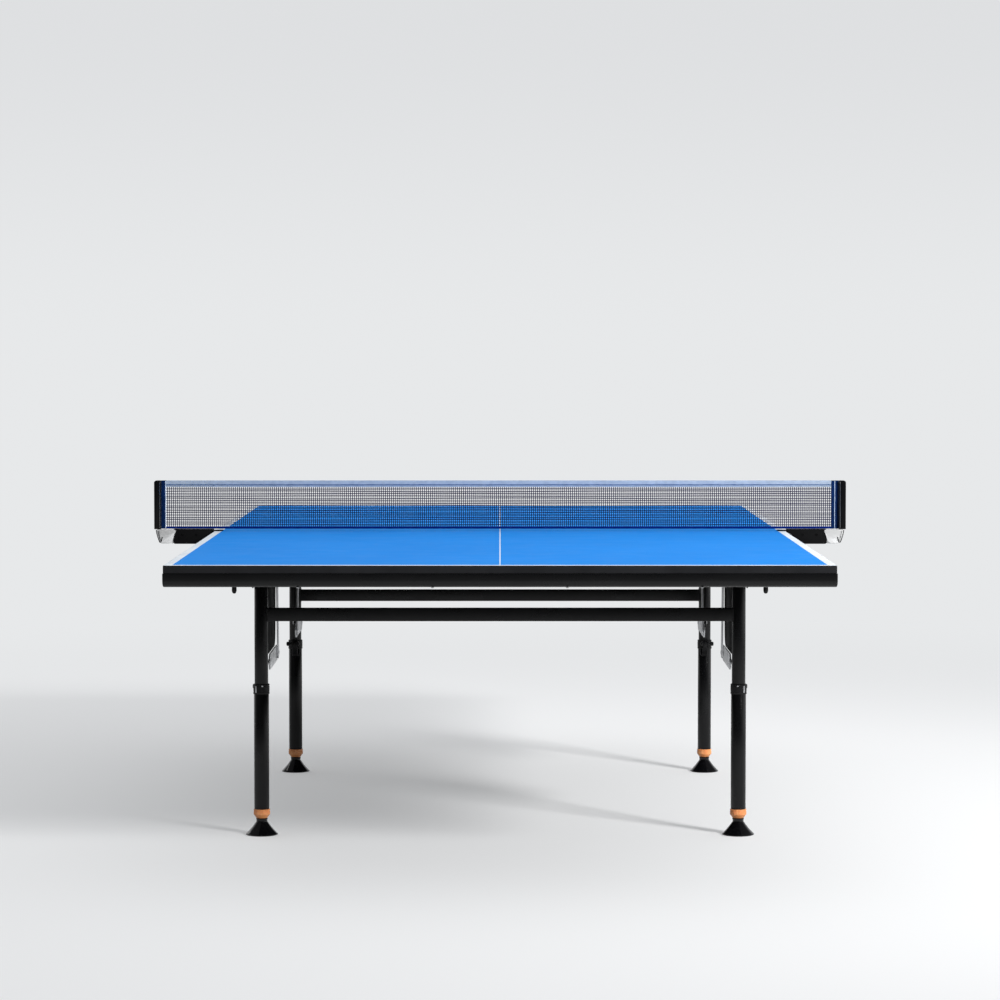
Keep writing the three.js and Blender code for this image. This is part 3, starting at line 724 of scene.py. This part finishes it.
def add_apron(end_name, end):
    """A rolled channel round the half board, its lower edge turned under, on a wider curve at the ends."""
    x = (-APRON_HIGH.x, APRON_HIGH.x)
    y = between(end * SEAM, APRON_LOW.y * -end)
    low, high, t, w, c = APRON_LOW.z, APRON_HIGH.z, APRON_WALL, APRON_WIDTH, APRON_CURVE
    turn = np.radians(np.linspace(0, 90, 7))
    outer = [(c * (1 - math.cos(a)), low + c * (1 - math.sin(a))) for a in turn]
    inner = [(c - (c - t) * math.cos(a), low + c - (c - t) * math.sin(a)) for a in turn[::-1]]
    inside = [(w - 0.5, low), (w, low + 0.5), (w, low + t)] + inner
    inside += [(t, high - t), (w, high - t), (w, high), (0.9, high), (0.2, high - 0.5), (0, high - 1.6)]
    section = [(SIDE_CURVE * inset, inset, z) for inset, z in outer]
    section += [(inset, inset, z) for inset, z in inside]
    add(f"{end_name}_rim", framed(x, y, 5, section), "steel", "frame", f"{end_name}_apron")
    places = [
        (side * (APRON_HIGH.x - w / 2), end * along * HALF_LENGTH, low)
        for side in (-1, 1) for along in (0.12, 0.38, 0.64, 0.9)
    ]
    places += [
        (across * HALF_WIDTH, end * (HALF_LENGTH + PROUD - w / 2), low) for across in (-0.6, -0.2, 0.2, 0.6)
    ]
    add(f"{end_name}_rim_screws", screws_below(places, 3.4), "zinc")


def add_under_rail(end_name, end):
    reach = APRON_HIGH.x - APRON_WIDTH - 0.4
    middle, top = end * LEG_Y, APRON_HIGH.z
    y = (middle - RAIL_HALF_WIDTH, middle + RAIL_HALF_WIDTH)
    rail = box_tube((-reach, reach), y, (top - RAIL_HEIGHT, top), 2, 3)
    add(f"{end_name}_cross_member", rail, "steel", "frame", f"{end_name}_under_rail")
    tabs = []
    under = top - TAB_THICKNESS
    for side in (-1, 1):
        for offset in (-TAB_OFFSET, TAB_OFFSET):
            y = middle + offset
            x = between(side * (reach - 2 * TAB_HALF), side * reach)
            tabs.append(box(x, (y - TAB_HALF, y + TAB_HALF), (under, top), 0.8))
            tabs.append(screw_head((side * (reach - TAB_HALF), y, under), "z", 3.2, -1))
    add(f"{end_name}_cross_member_tabs", merged(*tabs), "steel")


def add_crossbar(end_name, end):
    low, high = in_mm(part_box(f"{end_name}_crossbar"))
    y, z = (low.y, high.y), (low.z, high.z)
    reach = LEG_X[end_name] - TUBE_RADIUS + 2.5  # its ends go a little way into the tubes
    body = f"{end_name}_legs"
    bar = box_tube((-reach, reach), y, z, 2, 3.2)
    add(f"{end_name}_tie_bar", bar, "steel", body, f"{end_name}_crossbar")
    beads = []
    for side in (-1, 1):
        path = []
        for u, v in rounded_box(y, z, 3.2):
            on_tube = math.sqrt((TUBE_RADIUS + 0.8) ** 2 - (u - end * LEG_Y) ** 2)
            path.append((side * (LEG_X[end_name] - on_tube), u, v))
        beads.append(weld_bead(path, 1.7, 1.6))
    add(f"{end_name}_tie_bar_welds", merged(*beads), "weld", body)


# ======== One corner, in its own frame: origin on the hinge, +X outward, +Y towards the net ========
FLOOR = -HINGE
FLANGE_TOP = 31.4
BRACKET_Y = (-45, 290)
PLATE = 3
CHEEK = 19  # the inner face of each hinge cheek, from the leg's middle
OUTER_CHEEK_BOTTOM = -38
INNER_CHEEK_BOTTOM = -12
WEB_X = (-16.5, -13.5)
WEB_BOTTOM = -205
LINK_PIVOT = (245, 0)
LEG_PIVOT = (34, -225)
FREE_PIVOT = (279, -225)
STAY_BAR_X = (-20.5, -17.3)
STAY_LINK_X = (-24.8, -21.2)
LOCK_Z = -25
LOCK_HANDLE_X = 67
TUBE_BORE = 15
TUBE_TOP = 16
TUBE_BOTTOM = FLOOR + 250
SLEEVE_RADIUS = 18.75
SLEEVE_BORE = 17.3
SLEEVE = (FLOOR + 64.7, FLOOR + 364)
COLLAR = (FLOOR + 353, FLOOR + 378)
COLLAR_RADIUS = 20.2
COLLAR_BORE = (19.1, 17.4)  # over the sleeve, and over the tube above it
HALF_SLIT = 3  # degrees
LEVER_PIVOT = (29, FLOOR + 369)
RING_RADIUS = 20
RING = (FLOOR + 42.4, FLOOR + 64.4)
RING_FLUTES = (32, 0.4, 18.9)  # their count, depth, and the radius beyond which they show
FOOT_RADIUS = 40
STEM_RADIUS = 6
STEM_PITCH = 2


def web_outline():
    """The deep side plate, seen from the side."""
    near, far = BRACKET_Y[1], 24
    return (
        [(far, FLANGE_TOP - 1)]
        + arc((far + 12, WEB_BOTTOM + 12), 12, 180, 270, 6)
        + arc((near - 50, WEB_BOTTOM + 40), 40, -90, 0, 10)
        + [(near, -60), (near, FLANGE_TOP - 1)]
    )


def cheek_outline(bottom):
    """A cheek of the hinge, round at its bottom."""
    r = 22
    return [(-r, FLANGE_TOP - 1)] + arc((0, bottom + r), r, 180, 360, 16) + [(r, FLANGE_TOP - 1)]


def bracket_pieces(make):
    """What is fixed under the board: plates, welds, bolts, screws, spacers and the lock's barrel."""
    edge = CHEEK + PLATE
    under = FLANGE_TOP - PLATE
    plates = merged(
        box((-edge, edge), BRACKET_Y, (under, FLANGE_TOP), 0.9),
        prism(cheek_outline(OUTER_CHEEK_BOTTOM), (CHEEK, edge), "yz", 0.7),
        prism(cheek_outline(INNER_CHEEK_BOTTOM), (-edge, -CHEEK), "yz", 0.7),
        prism(web_outline(), WEB_X, "yz", 0.7),
    )
    make("hinge_plates", plates, "flat_steel", "frame", "hinge_bracket", sharp_angle=40)
    seam = [(x, y, under - 0.4) for x, y in [(-18, 26), (-12, 26), (-12, 288), (-18, 288)]]
    make("hinge_welds", weld_bead(seam, 1.5, 2.2), "weld")
    pin = merged(
        cylinder("x", 5, (-24, 24)),
        hex_nut((edge, 0, 0), "x", 8, 4.2, 1),
        rivet((-edge, 0, 0), "x", 8.5, -1),
        *riveted(LINK_PIVOT, (-26, -13.6), (-24.9, 7.5, -1), (-13.5, 6.5, 1)),
    )
    make("hinge_bolts", pin, "zinc")
    places = [(9, y, under) for y in (-34, 60, 120, 200, 274)] + [(-9, -34, under)]
    make("hinge_screws", screws_below(places, 4), "zinc")
    spacers = [
        prism(rounded_box((-18, 18), y, 3), (FLANGE_TOP, BOARD_LOW.z - HINGE - 0.3), "xy", 0.8)
        for y in ((128, 152), (262, 286))
    ]
    make("hinge_spacers", merged(*spacers), "plastic")
    barrel = revolve([
        (5, 22), (8, 22), (8, 39), (7, 40), (7, 41.5), (8, 42.5), (8, 45), (7, 46), (4.4, 46), (4.4, 22),
    ], "x", (0, 0, LOCK_Z), 32)
    make("lock_barrel", barrel, "zinc")


def leg_pieces(make, legs):
    """The upper tube with its cap, the lug and rivet for the stay, and the rim of the lock's hole."""
    tube = round_tube(TUBE_RADIUS, TUBE_BORE, (TUBE_BOTTOM, TUBE_TOP))
    lug = prism(link_outline((14, LEG_PIVOT[1]), LEG_PIVOT, 12), (-3, 3), "yz", 0.8)
    make("tube", merged(tube, lug), "steel", legs, "leg_tube")
    half = 3.6
    on_tube = math.sqrt((TUBE_RADIUS + 0.3) ** 2 - half ** 2)
    heights = LEG_PIVOT[1] + np.linspace(-12, 12, 9)
    seam = [(-half, on_tube, z) for z in heights] + [(half, on_tube, z) for z in heights[::-1]]
    make("lug_weld", weld_bead(seam, 1.3, 2), "weld", legs)
    cap = revolve([
        (0, -8), (14.8, -8), (14.8, 0.1), (16.6, 0.1), (16.6, 1), (15.6, 2.1), (9, 2.9), (0, 3.1),
    ], centre=(0, 0, TUBE_TOP))
    make("tube_cap", cap, "plastic", legs)
    pin = merged(
        *riveted(LEG_PIVOT, (-21.5, 3.5), (-20.6, 7, -1), (3, 6.5, 1)),
        revolve([(4, 3.2), (7, 3.2), (7, 5), (4, 5)], "x", (-20.5, *LEG_PIVOT), 28),
    )
    make("stay_rivet", pin, "zinc", legs)
    hole = revolve([(4.2, 0), (6.4, 0), (6.9, 0.35), (6.4, 0.7), (4.2, 0.7)], "x", (16.9, 0, LOCK_Z), 28)
    make("lock_hole_rim", hole, "zinc", legs)


def stay_pieces(make, corner):
    """The stay's two straps, each with a pressed panel, and the pin between them."""
    for name, node_name, pivot, radius, steps, x, face in (
        ("stay_strap", "stay_bar", LEG_PIVOT, 20, 16, STAY_BAR_X, 1),
        ("stay_arm", "stay_link", LINK_PIVOT, 15, 14, STAY_LINK_X, -1),
    ):
        bar = prism(link_outline(pivot, FREE_PIVOT, radius, steps), x, "yz", 0.6)
        pressed(bar, (face, 0, 0), 8, 0.9)
        make(name, bar, "zinc", f"{corner}_{node_name}", node_name, sharp_angle=40)
    pin = riveted(FREE_PIVOT, (-25, -17.1), (-24.8, 7.5, -1))
    make("stay_joint", merged(*pin), "zinc", f"{corner}_stay_link")


def sleeve_pieces(make, corner):
    """The lower leg with its plug, and the slit collar with its ears and bolt, and a bright zinc strip and
    stud that paint the collar's highlight and glint.
    """
    body = f"{corner}_sleeve"
    low, high = SLEEVE
    sleeve = round_tube(SLEEVE_RADIUS, SLEEVE_BORE, (low + 2.2, high))
    make("lower_leg", sleeve, "steel", body, "foot_sleeve")
    plug = revolve([
        (6.4, 0), (17.6, 0), (18.6, 0.8), (18.7, 2.1), (17.2, 2.3), (17.2, 14), (6.4, 14),
    ], centre=(0, 0, low))
    make("lower_leg_plug", plug, "plastic", body)
    a, b = COLLAR
    r = COLLAR_RADIUS
    wide, narrow = COLLAR_BORE
    step = high + 0.3
    profile = [
        (wide, a), (r - 0.4, a), (r, a + 0.5), (r, a + 5), (r - 0.5, a + 5.5), (r - 0.5, a + 6.7),
        (r, a + 7.2), (r, b - 5), (r - 0.7, b - 4.3), (r - 0.7, b - 3.4), (r, b - 2.7), (r, b - 0.9),
        (r - 0.9, b), (narrow, b), (narrow, step), (wide, step),
    ]
    collar = sweep(profile, 90 + HALF_SLIT, 450 - HALF_SLIT, 60)
    root = (TUBE_RADIUS + 0.6, LEVER_PIVOT[1])
    ears = [prism(link_outline(root, LEVER_PIVOT, 7), between(s * 6, s * 10), "yz", 0.9) for s in (1, -1)]
    make("collar", merged(collar, *ears), "plastic", body, "clamp_collar", sharp_angle=40)
    bolt = merged(
        cylinder("x", 2.5, (-12.5, 20), LEVER_PIVOT),
        revolve([(0, 15), (6, 15), (6, 21.5), (5, 23.4), (2.4, 24), (0, 24)], "x", (0, *LEVER_PIVOT), 28),
        hex_nut((-10.1, *LEVER_PIVOT), "x", 4.6, 3, -1),
    )
    make("collar_bolt", bolt, "steel", body)
    # painted highlight and glint: a zinc strip down the collar's outer front and a stud at its top stand in
    # for the highlight and the glint of light on the collar
    strip = prism(rounded_box((-1.9, 1.9), (a + 4, b - 3.6), 1.6), (-0.9, 0.9), "xz", 0.4)
    strip.transform(Matrix.Translation((12.4, -15.9, 0)) @ Matrix.Rotation(math.radians(38), 4, "Z"))
    stud = rivet((-3.5, -19.7, b - 3.9), "y", 2.3, -1)
    make("collar_highlight_and_glint", merged(strip, stud), "zinc", body)


def lever_outline(top, from_cam):
    """The lever from the side, with its cam or without."""
    y, z = LEVER_PIVOT
    cam, tip = 5.5, 3
    tip_y, tip_z = y - cam + 2, z - 33
    outline = arc((y, z), cam, 0, 135, 9) if from_cam else []
    outline += [(y - cam, top), (tip_y - tip, tip_z)]
    outline += arc((tip_y, tip_z), tip, 180, 360, 8)[1:]
    return outline + [(y + cam - 1, top)]


def lever_pieces(make, corner):
    y, z = LEVER_PIVOT
    neck = prism(lever_outline(z - 9, True), (-5.4, 5.4), "yz", 0.8)
    grip = prism(lever_outline(z - 10, False), (-8, 8), "yz", 1.2, 3)
    ribs = [
        cylinder("x", 0.9, (-6.4, 6.4), (y + 3.2 - 0.22 * k, z - 15 - 3 * k), 0.4, 12) for k in range(6)
    ]
    lever = merged(neck, grip, *ribs)
    make("cam_lever", lever, "plastic", f"{corner}_lever", "clamp_lever", sharp_angle=40)
    bail = wire([
        (-9, y - 1, z - 12), (-11.5, y - 1, z - 12), (-13.5, y - 1, z - 13.5), (-14, y - 1, z - 16),
        (-13.8, y - 2, z - 24), (-12.5, y - 2.5, z - 30), (-10.5, y - 3, z - 33), (-7.5, y - 3.3, z - 34),
    ], 1.6, 12)
    make("lever_bail", bail, "plastic", f"{corner}_lever")


def foot_pieces(make, corner):
    low, high = RING
    bore, r = STEM_RADIUS + 0.5, RING_RADIUS
    groove = r - 0.7
    ring = revolve([
        (bore, low), (13.8, low), (14.6, low + 0.6), (18.4, low + 6.4), (r, low + 8.6), (r, high - 5.2),
        (groove, high - 4.6), (groove, high - 3.6), (r, high - 3), (r, high - 0.8), (groove, high),
        (bore, high),
    ], sides=160, ripple=RING_FLUTES)
    make("height_ring", ring, "orange", f"{corner}_ring", "levelling_ring", sharp_angle=30)
    r = FOOT_RADIUS
    base = [(0, 0.6), (30, 0.6), (31, 0), (37.5, 0), (39.3, 0.5), (r, 1.5), (r, 2.7), (39.5, 3.6)]
    cone = [
        (38.5 - 23 * t - 1.2 * math.sin(math.pi * t), 4.2 + 26.8 * t) for t in np.linspace(0, 1, 15)
    ]
    neck = [(13.6, -5), (14.1, -4), (14.6, -2.6), (14.5, -1.4), (13.6, -0.6), (0, -0.6)]
    foot = revolve(
        [(r, FLOOR + h) for r, h in base + cone + [(14.2, 32.6), (13.6, 34)]]
        + [(r, low + h) for r, h in neck],
        sides=96,
    )
    make("foot_cone", foot, "foot", f"{corner}_foot", "levelling_foot")
    stem = threaded(STEM_RADIUS, (low - 1, FLOOR + 118), STEM_PITCH)
    make("foot_stem", stem, "zinc", f"{corner}_foot")


def lock_pieces(make, corner):
    body = f"{corner}_lock"
    at = (0, 0, LOCK_Z)
    rod = merged(
        revolve([(0, 17.6), (3, 17.6), (4, 19), (4, 60), (3.2, 61), (0, 61)], "x", at, 28),
        revolve([(3.9, 47.5), (5.6, 47.5), (5.6, 49.5), (3.9, 49.5)], "x", at, 28),
    )
    make("lock_rod", rod, "zinc", body)
    handle = merged(
        revolve([
            (0, -51.5), (2, -51.3), (3.6, -50.4), (5, -48.2), (5.9, -45.2), (6.2, -41), (5.8, -36),
            (5.4, -31), (5.6, -27), (6, -23.5), (5.8, -20.5), (4.6, -18.2), (2.4, -17.4), (0, -17.3),
        ], "z", (LOCK_HANDLE_X, 0, 0), 40),
        revolve([(0, 52), (3.4, 52), (4.9, 53), (5.2, 56), (5.4, 63), (4, 66), (0, 66)], "x", at, 32),
    )
    make("lock_handle", handle, "plastic", body, "lock_pin")


def add_corner(end_name, side_name):
    end, side = ENDS[end_name], SIDES[side_name]
    corner = f"{end_name}_{side_name}"
    place = Matrix.Translation(Vector((side * LEG_X[end_name], end * LEG_Y, HINGE)) * MM)
    make = maker(corner, place @ Matrix.Diagonal((side, -end, 1, 1)))
    bracket_pieces(make)
    leg_pieces(make, f"{end_name}_legs")
    stay_pieces(make, corner)
    sleeve_pieces(make, corner)
    lever_pieces(make, corner)
    foot_pieces(make, corner)
    lock_pieces(make, corner)


# ======== The net ========
NET_HALF = NET_HIGH.x
BAND_TOP = NET_HIGH.z
BAND_HEIGHT = 17.5
STRIPE = (846.6, 849.8)  # the dark stripe woven into the top band
# the bottom tape's height, taller than the real thin cord so that its saturated dark blue also paints the
# net's shadow on the table just behind it
CORD_AND_SHADOW_HEIGHT = 6
SIDE_BAND = {"left": 13, "right": 21}
PIPING = {"left": 12, "right": 11.5}  # its middle, from the net's end
PIPING_WIDTH = 2.2
MESH_PITCH = (5.2, 6.2)  # between upright threads, and between level ones
THREAD_WIDTH = 2.1
THREAD_DEPTH = 1.1
WEAVE = 0.5  # how far a thread's middle is from the net's plane where it crosses another
CROSSING, BETWEEN = 1.12, 0.94  # a thread's thickness where it crosses another, and halfway to the next
SAG = 1.3  # how far the level threads wander up and down
TAPE_SECTIONS = 30  # their distance along a tape
STITCH_PITCH = 7


def thread(points, across):
    """Rings of a flat-oval thread; points are (place, thickness) and across is its width's direction."""
    wide = Vector(across) * (0.5 * THREAD_WIDTH)
    deep = Vector((0, 0.5 * THREAD_DEPTH, 0))
    return [oval(Vector(p), wide * swell, deep * swell, 6) for p, swell in points]


def sag(x, row):
    """How far a level thread has slipped up or down at a place along the net."""
    return SAG * math.sin(2.4 * row + x / 170) * math.sin(1.1 * row + 2)


def add_net():
    """Mesh whose upright and level threads pass over and under each other, in its sewn bands."""
    low = NET_LOW.z + CORD_AND_SHADOW_HEIGHT - 1
    high = BAND_TOP - BAND_HEIGHT + 1
    left, right = SIDE_BAND["left"] - 1 - NET_HALF, NET_HALF - SIDE_BAND["right"] + 1
    columns = round((right - left) / MESH_PITCH[0])
    rows = round((high - low) / MESH_PITCH[1])
    xs = np.linspace(left, right, columns + 1)[1:-1]
    zs = np.linspace(low, high, rows + 1)[1:-1]
    bm = bmesh.new()
    for i, x in enumerate(xs):
        path = [((x, 0, low), 1)]
        for j, z in enumerate(zs):
            over = WEAVE if (i + j) % 2 else -WEAVE
            path.append(((x, over, z + sag(x, j)), CROSSING))
            path.append(((x, 0, z + 0.5 * MESH_PITCH[1]), BETWEEN))
        path[-1] = ((x, 0, high), 1)
        add_rings(bm, thread(path, (1, 0, 0)))
    for j, z in enumerate(zs):
        path = [((left, 0, z + sag(left, j)), 1)]
        for i, x in enumerate(xs):
            over = -WEAVE if (i + j) % 2 else WEAVE
            halfway = x + 0.5 * MESH_PITCH[0]
            path.append(((x, over, z + sag(x, j)), CROSSING))
            path.append(((halfway, 0, z + sag(halfway, j)), BETWEEN))
        path[-1] = ((right, 0, z + sag(right, j)), 1)
        add_rings(bm, thread(path, (0, 0, 1)))
    bmesh.ops.recalc_face_normals(bm, faces=bm.faces)
    mesh = add("net_squares", bm, "thread", "frame", "net")
    bands = add_net_bands()


def tape(x, z, half_thickness, along):
    """A folded tape, fuller along its middle than at its sewn edges."""
    length, width = (x, z) if along == "x" else (z, x)
    outline = []
    for sign, shares in ((-1, np.linspace(0, 1, 9)), (1, np.linspace(1, 0, 9))):
        for t in shares:
            crown = half_thickness * (0.55 + 0.45 * math.sin(math.pi * t) ** 0.6)
            outline.append((width[0] + (width[1] - width[0]) * t, sign * crown))
    rings = []
    for at in np.linspace(*length, 2 + round((length[1] - length[0]) / TAPE_SECTIONS)):
        if along == "x":
            rings.append([(at, depth, place) for place, depth in outline])
        else:
            rings.append([(place, depth, at) for place, depth in outline])
    return skin(rings)


def stitches(x, z):
    """Two rows of short stitches, one on each face of a level tape."""
    made = []
    path = [(0, 1.35), (1, 1.75), (3.4, 1.75), (4.4, 1.35)]
    for face in (-1, 1):
        for at in np.arange(*x, STITCH_PITCH):
            made.append(wire([(at + step, face * depth, z) for step, depth in path], 0.3, 5))
    return merged(*made)


def add_net_bands():
    """The sewn tapes round the mesh, their stripe, stitches and piping."""
    low, high = NET_LOW.z, BAND_TOP
    reach = NET_HALF - 0.4
    x = (SIDE_BAND["left"] - NET_HALF, NET_HALF - SIDE_BAND["right"])
    band_bottom = high - BAND_HEIGHT
    bands = [
        add("net_top_tape", tape(x, (band_bottom, high), 2, "x"), "top_band"),
        add("net_top_stripe", tape(x, STRIPE, 2.5, "x"), "stripe"),
        add("net_bottom_tape_and_shadow", tape(x, (low, low + CORD_AND_SHADOW_HEIGHT), 1.8, "x"), "cord_and_shadow_band"),
        add("net_stitching", stitches((x[0] + 3, x[1] - 6), band_bottom + 1.8), "stitch"),
    ]
    for name, side in SIDES.items():
        span = between(side * (NET_HALF - SIDE_BAND[name]), side * reach)
        bands.append(add(f"net_{name}_tape", tape(span, (low, high), 2.1, "z"), "side_band"))
        middle = side * (NET_HALF - PIPING[name])
        span = (middle - PIPING_WIDTH / 2, middle + PIPING_WIDTH / 2)
        piping = tape(span, inward((low, high), 1), 2.6, "z")
        bands.append(add(f"net_{name}_piping", piping, "stitch"))
    return bands


# ======== Net posts, clips, arms and clamps, for the right side ========
POST = (POST_LOW.x, POST_HIGH.x)
POST_SPAN = (POST_LOW.z, POST_HIGH.z)
POST_HALF_DEPTH = 11.4
ARM_HALF_DEPTH = ARM_HIGH.y
ARM_INNER = APRON_HIGH.x + 1
ARM_OUTER = ARM_HIGH.x
ARM_BOTTOM = 691
CLAMP_X = 752
JAW_TOP = 652
JAW_INNER = ARM_LOW.x
PAD_TOP = APRON_LOW.z - 0.3
KNOB = (608, 624)
KNOB_RADIUS = 13.7  # halfway up its lobes
LOBES = 5
LOBE_DEPTH = 3.1


def on_both_faces(outline, inside, outside, bevel):
    """The same plate on the near and on the far face, from one distance to another off the net's plane."""
    return [prism(outline, between(face * inside, face * outside), "xz", bevel) for face in (-1, 1)]


def post_outline():
    """The post seen from along the table."""
    r = 6
    return (
        [(POST[0], POST_SPAN[0]), (POST[1], POST_SPAN[0])]
        + arc((POST[1] - r, POST_SPAN[1] - r), r, 0, 90, 8)
        + arc((POST[0] + 2, POST_SPAN[1] - 2), 2, 90, 180, 4)
    )


def post_pieces(make):
    """A moulded shell with a slat, a thin zinc strip on each face that paints the highlight along the post's
    edge, and the slot that holds the net.
    """
    x, (low, high), face = POST[0], POST_SPAN, POST_HALF_DEPTH
    shell = prism(post_outline(), (-face, face), "xz", 1.4, 3)
    slat = rounded_box((x + 4.4, POST[1] - 1), (low + 1, high - 1.2), 5, 6)
    shell = merged(shell, *on_both_faces(slat, face - 0.4, face + 1, 0.8))
    make("post_shell", shell, "post", "frame", "net_post", sharp_angle=40)
    # painted highlight: a thin bright zinc strip on each face stands in for the highlight of light along the
    # post's edge
    strip = rounded_box((x + 1.6, x + 2.5), (low + 2, high - 3), 0.4)
    make("post_highlight_strips", merged(*on_both_faces(strip, face - 0.4, face + 0.6, 0.2)), "zinc")
    slot = prism(rounded_box((x - 0.2, x + 0.6), (low + 6, high - 5), 0.3), (-3, 3), "xz", 0.2)
    make("post_slot", slot, "rubber")


def clip_pieces(make):
    """The bright saddle under the post, and its spring wires."""
    inner, outer = ARM_OUTER + 0.4, CLIP_HIGH.x
    top, bottom = CLIP_HIGH.z, ARM_BOTTOM + 1
    outline = (
        [(inner, top), (inner, bottom + 2)]
        + arc((inner + 2, bottom + 2), 2, 180, 270, 3)
        + arc((outer - 14, bottom + 7), 7, -90, -10, 6)
        + [(outer - 1.5, top - 13)]
        + arc((outer - 3, top - 3), 3, 0, 90, 4)
    )
    body = prism(outline, (-11, 11), "xz", 1.2, 3)
    nose = (
        arc((inner - 2, top - 5), 5, 90, 235, 10)
        + [(inner + 2, bottom + 6), (inner + 9, bottom + 1), (outer - 12, bottom + 2), (outer - 6, top - 1)]
    )
    noses = on_both_faces(nose, ARM_HALF_DEPTH + 0.2, ARM_HALF_DEPTH + 1.5, 0.5)
    webs, hooks = [], []
    for face in (-1, 1):
        span = between(face * 10.5, face * (ARM_HALF_DEPTH + 1))
        webs.append(box((inner + 3, inner + 30), span, (top - 22, top - 19), 0.4))
        y = face * (ARM_HALF_DEPTH + 3)
        path = [(outer + 1 - 9 * t ** 1.5, y, top - 1 - 33 * t) for t in np.linspace(0, 1, 12)]
        path += [(outer - 10, y, top - 34.5), (outer - 12.5, y, top - 30), (outer - 15, y, top - 20)]
        hooks.append(wire(path, 1.15))
    make("post_saddle", merged(body, *noses, *webs), "chrome", "frame", "net_post_clip", sharp_angle=40)
    make("post_spring_wire", merged(*hooks), "plastic")


def arm_pieces(make):
    """The arm with its raised panels, the two jaws on a spine, the ribs and the spindle's boss."""
    depth = (-ARM_HALF_DEPTH, ARM_HALF_DEPTH)
    inner, outer, bottom, top = ARM_INNER, ARM_OUTER, ARM_BOTTOM, ARM_HIGH.z
    jaw, jaw_top, panel_depth = JAW_INNER, JAW_TOP, ARM_HALF_DEPTH + 0.7
    beam = [
        (inner, top), (inner, bottom + 26), (inner + 30, bottom), (outer - 3, bottom), (outer, bottom + 3),
        (outer, top),
    ]
    panel = [
        (inner + 9, top - 6), (inner + 9, bottom + 28), (inner + 33, bottom + 7), (outer - 14, bottom + 7),
        (outer - 14, top - 6),
    ]
    rib = [(jaw + 18, jaw_top - 0.5), (inner + 1, jaw_top - 0.5), (inner + 1, jaw_top + 12)]
    boss = revolve([
        (4.3, -14), (9, -14), (10, -13), (10, -4.8), (4.3, -4.8),
    ], "z", (CLAMP_X, 0, jaw_top), 40)
    arm = merged(
        prism(beam, depth, "xz", 1.5, 3),
        *on_both_faces(panel, ARM_HALF_DEPTH - 0.5, panel_depth, 0.6),
        box((jaw, inner + 1), depth, (SURFACE + 0.8, SURFACE + 2.8), 0.6),
        box((inner, inner + 4), depth, (jaw_top - 5, top - 2), 0.9),
        box((jaw, inner + 4), depth, (jaw_top - 5, jaw_top), 1.1),
        *on_both_faces(rib, 11.5, 14, 0.5),
        boss,
    )
    make("support_arm", arm, "flat_steel", "frame", "net_arm", sharp_angle=40)
    pad = box((jaw + 2, inner - 3), (-13, 13), (SURFACE + 0.05, SURFACE + 0.75), 0.2)
    make("jaw_pad", pad, "rubber")
    screws = [
        screw_head((x, face * panel_depth, top - 14), "y", 3.6, face)
        for face in (-1, 1) for x in (inner + 44, outer - 26)
    ]
    make("arm_screws", merged(*screws), "flat_steel")


def clamp_pieces(make, side_name):
    """The pad with its rubber face, and the spindle with its five-lobed knob."""
    pad, turning = f"{side_name}_clamp_pad", f"{side_name}_clamp_knob"
    at = (CLAMP_X, 0, PAD_TOP)
    cup = revolve([(0, -9), (5.4, -9), (6.2, -8.2), (9.6, -4.4), (9.8, -1.6), (0, -1.6)], "z", at)
    face = revolve([
        (0, -1.7), (9.7, -1.7), (9.9, -1.2), (9.4, -0.1), (6, 0), (5.4, -0.5), (0, -0.5),
    ], "z", at)
    make("pad_cup", cup, "plastic", pad, "net_clamp_pad")
    make("pad_face", face, "rubber", pad)
    lobed = []
    for i in range(120):
        a = TAU * i / 120
        radius = KNOB_RADIUS + LOBE_DEPTH * math.cos(LOBES * a)
        lobed.append((CLAMP_X + radius * math.cos(a), radius * math.sin(a)))
    low, high = KNOB
    knob = merged(
        prism(lobed, KNOB, "xy", 2.4, 4),
        revolve([(0, -1), (9.4, -1), (9.4, 1.6), (8, 3.6), (4.1, 4), (0, 4)], "z", (CLAMP_X, 0, high), 40),
        revolve([(0, -0.8), (6.4, -0.8), (7, -0.2), (7, 1), (0, 1)], "z", (CLAMP_X, 0, low), 40),
    )
    make("star_knob", knob, "plastic", turning, "net_clamp_knob")
    make("clamp_screw", threaded(4, (high + 2, PAD_TOP - 9.3), 1.5, (CLAMP_X, 0)), "zinc", turning)


def add_net_end(side_name):
    make = maker(side_name, Matrix.Diagonal((SIDES[side_name], 1, 1, 1)))
    post_pieces(make)
    clip_pieces(make)
    arm_pieces(make)
    clamp_pieces(make, side_name)


def add_joining_bar():
    low, high = in_mm(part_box("joining_bar"))
    strip = prism(rounded_box((low.x, high.x), (low.y, high.y), 6, 6), (low.z, high.z), "xy", 0.8)
    add("seam_strip", strip, "steel", "frame", "joining_bar")
    places = [(x, y, low.z) for x in np.linspace(-640, 640, 7) for y in (-17, 17)]
    add("seam_strip_screws", screws_below(places, 4), "zinc")


# ======== The scene ========
make_camera()
make_studio()
LOOKS = make_looks()
for end_name, end in ENDS.items():
    add_board(end_name, end)
    add_apron(end_name, end)
    add_under_rail(end_name, end)
    add_crossbar(end_name, end)
    for side_name in SIDES:
        add_corner(end_name, side_name)
add_net()
for side_name in SIDES:
    add_net_end(side_name)
add_joining_bar()
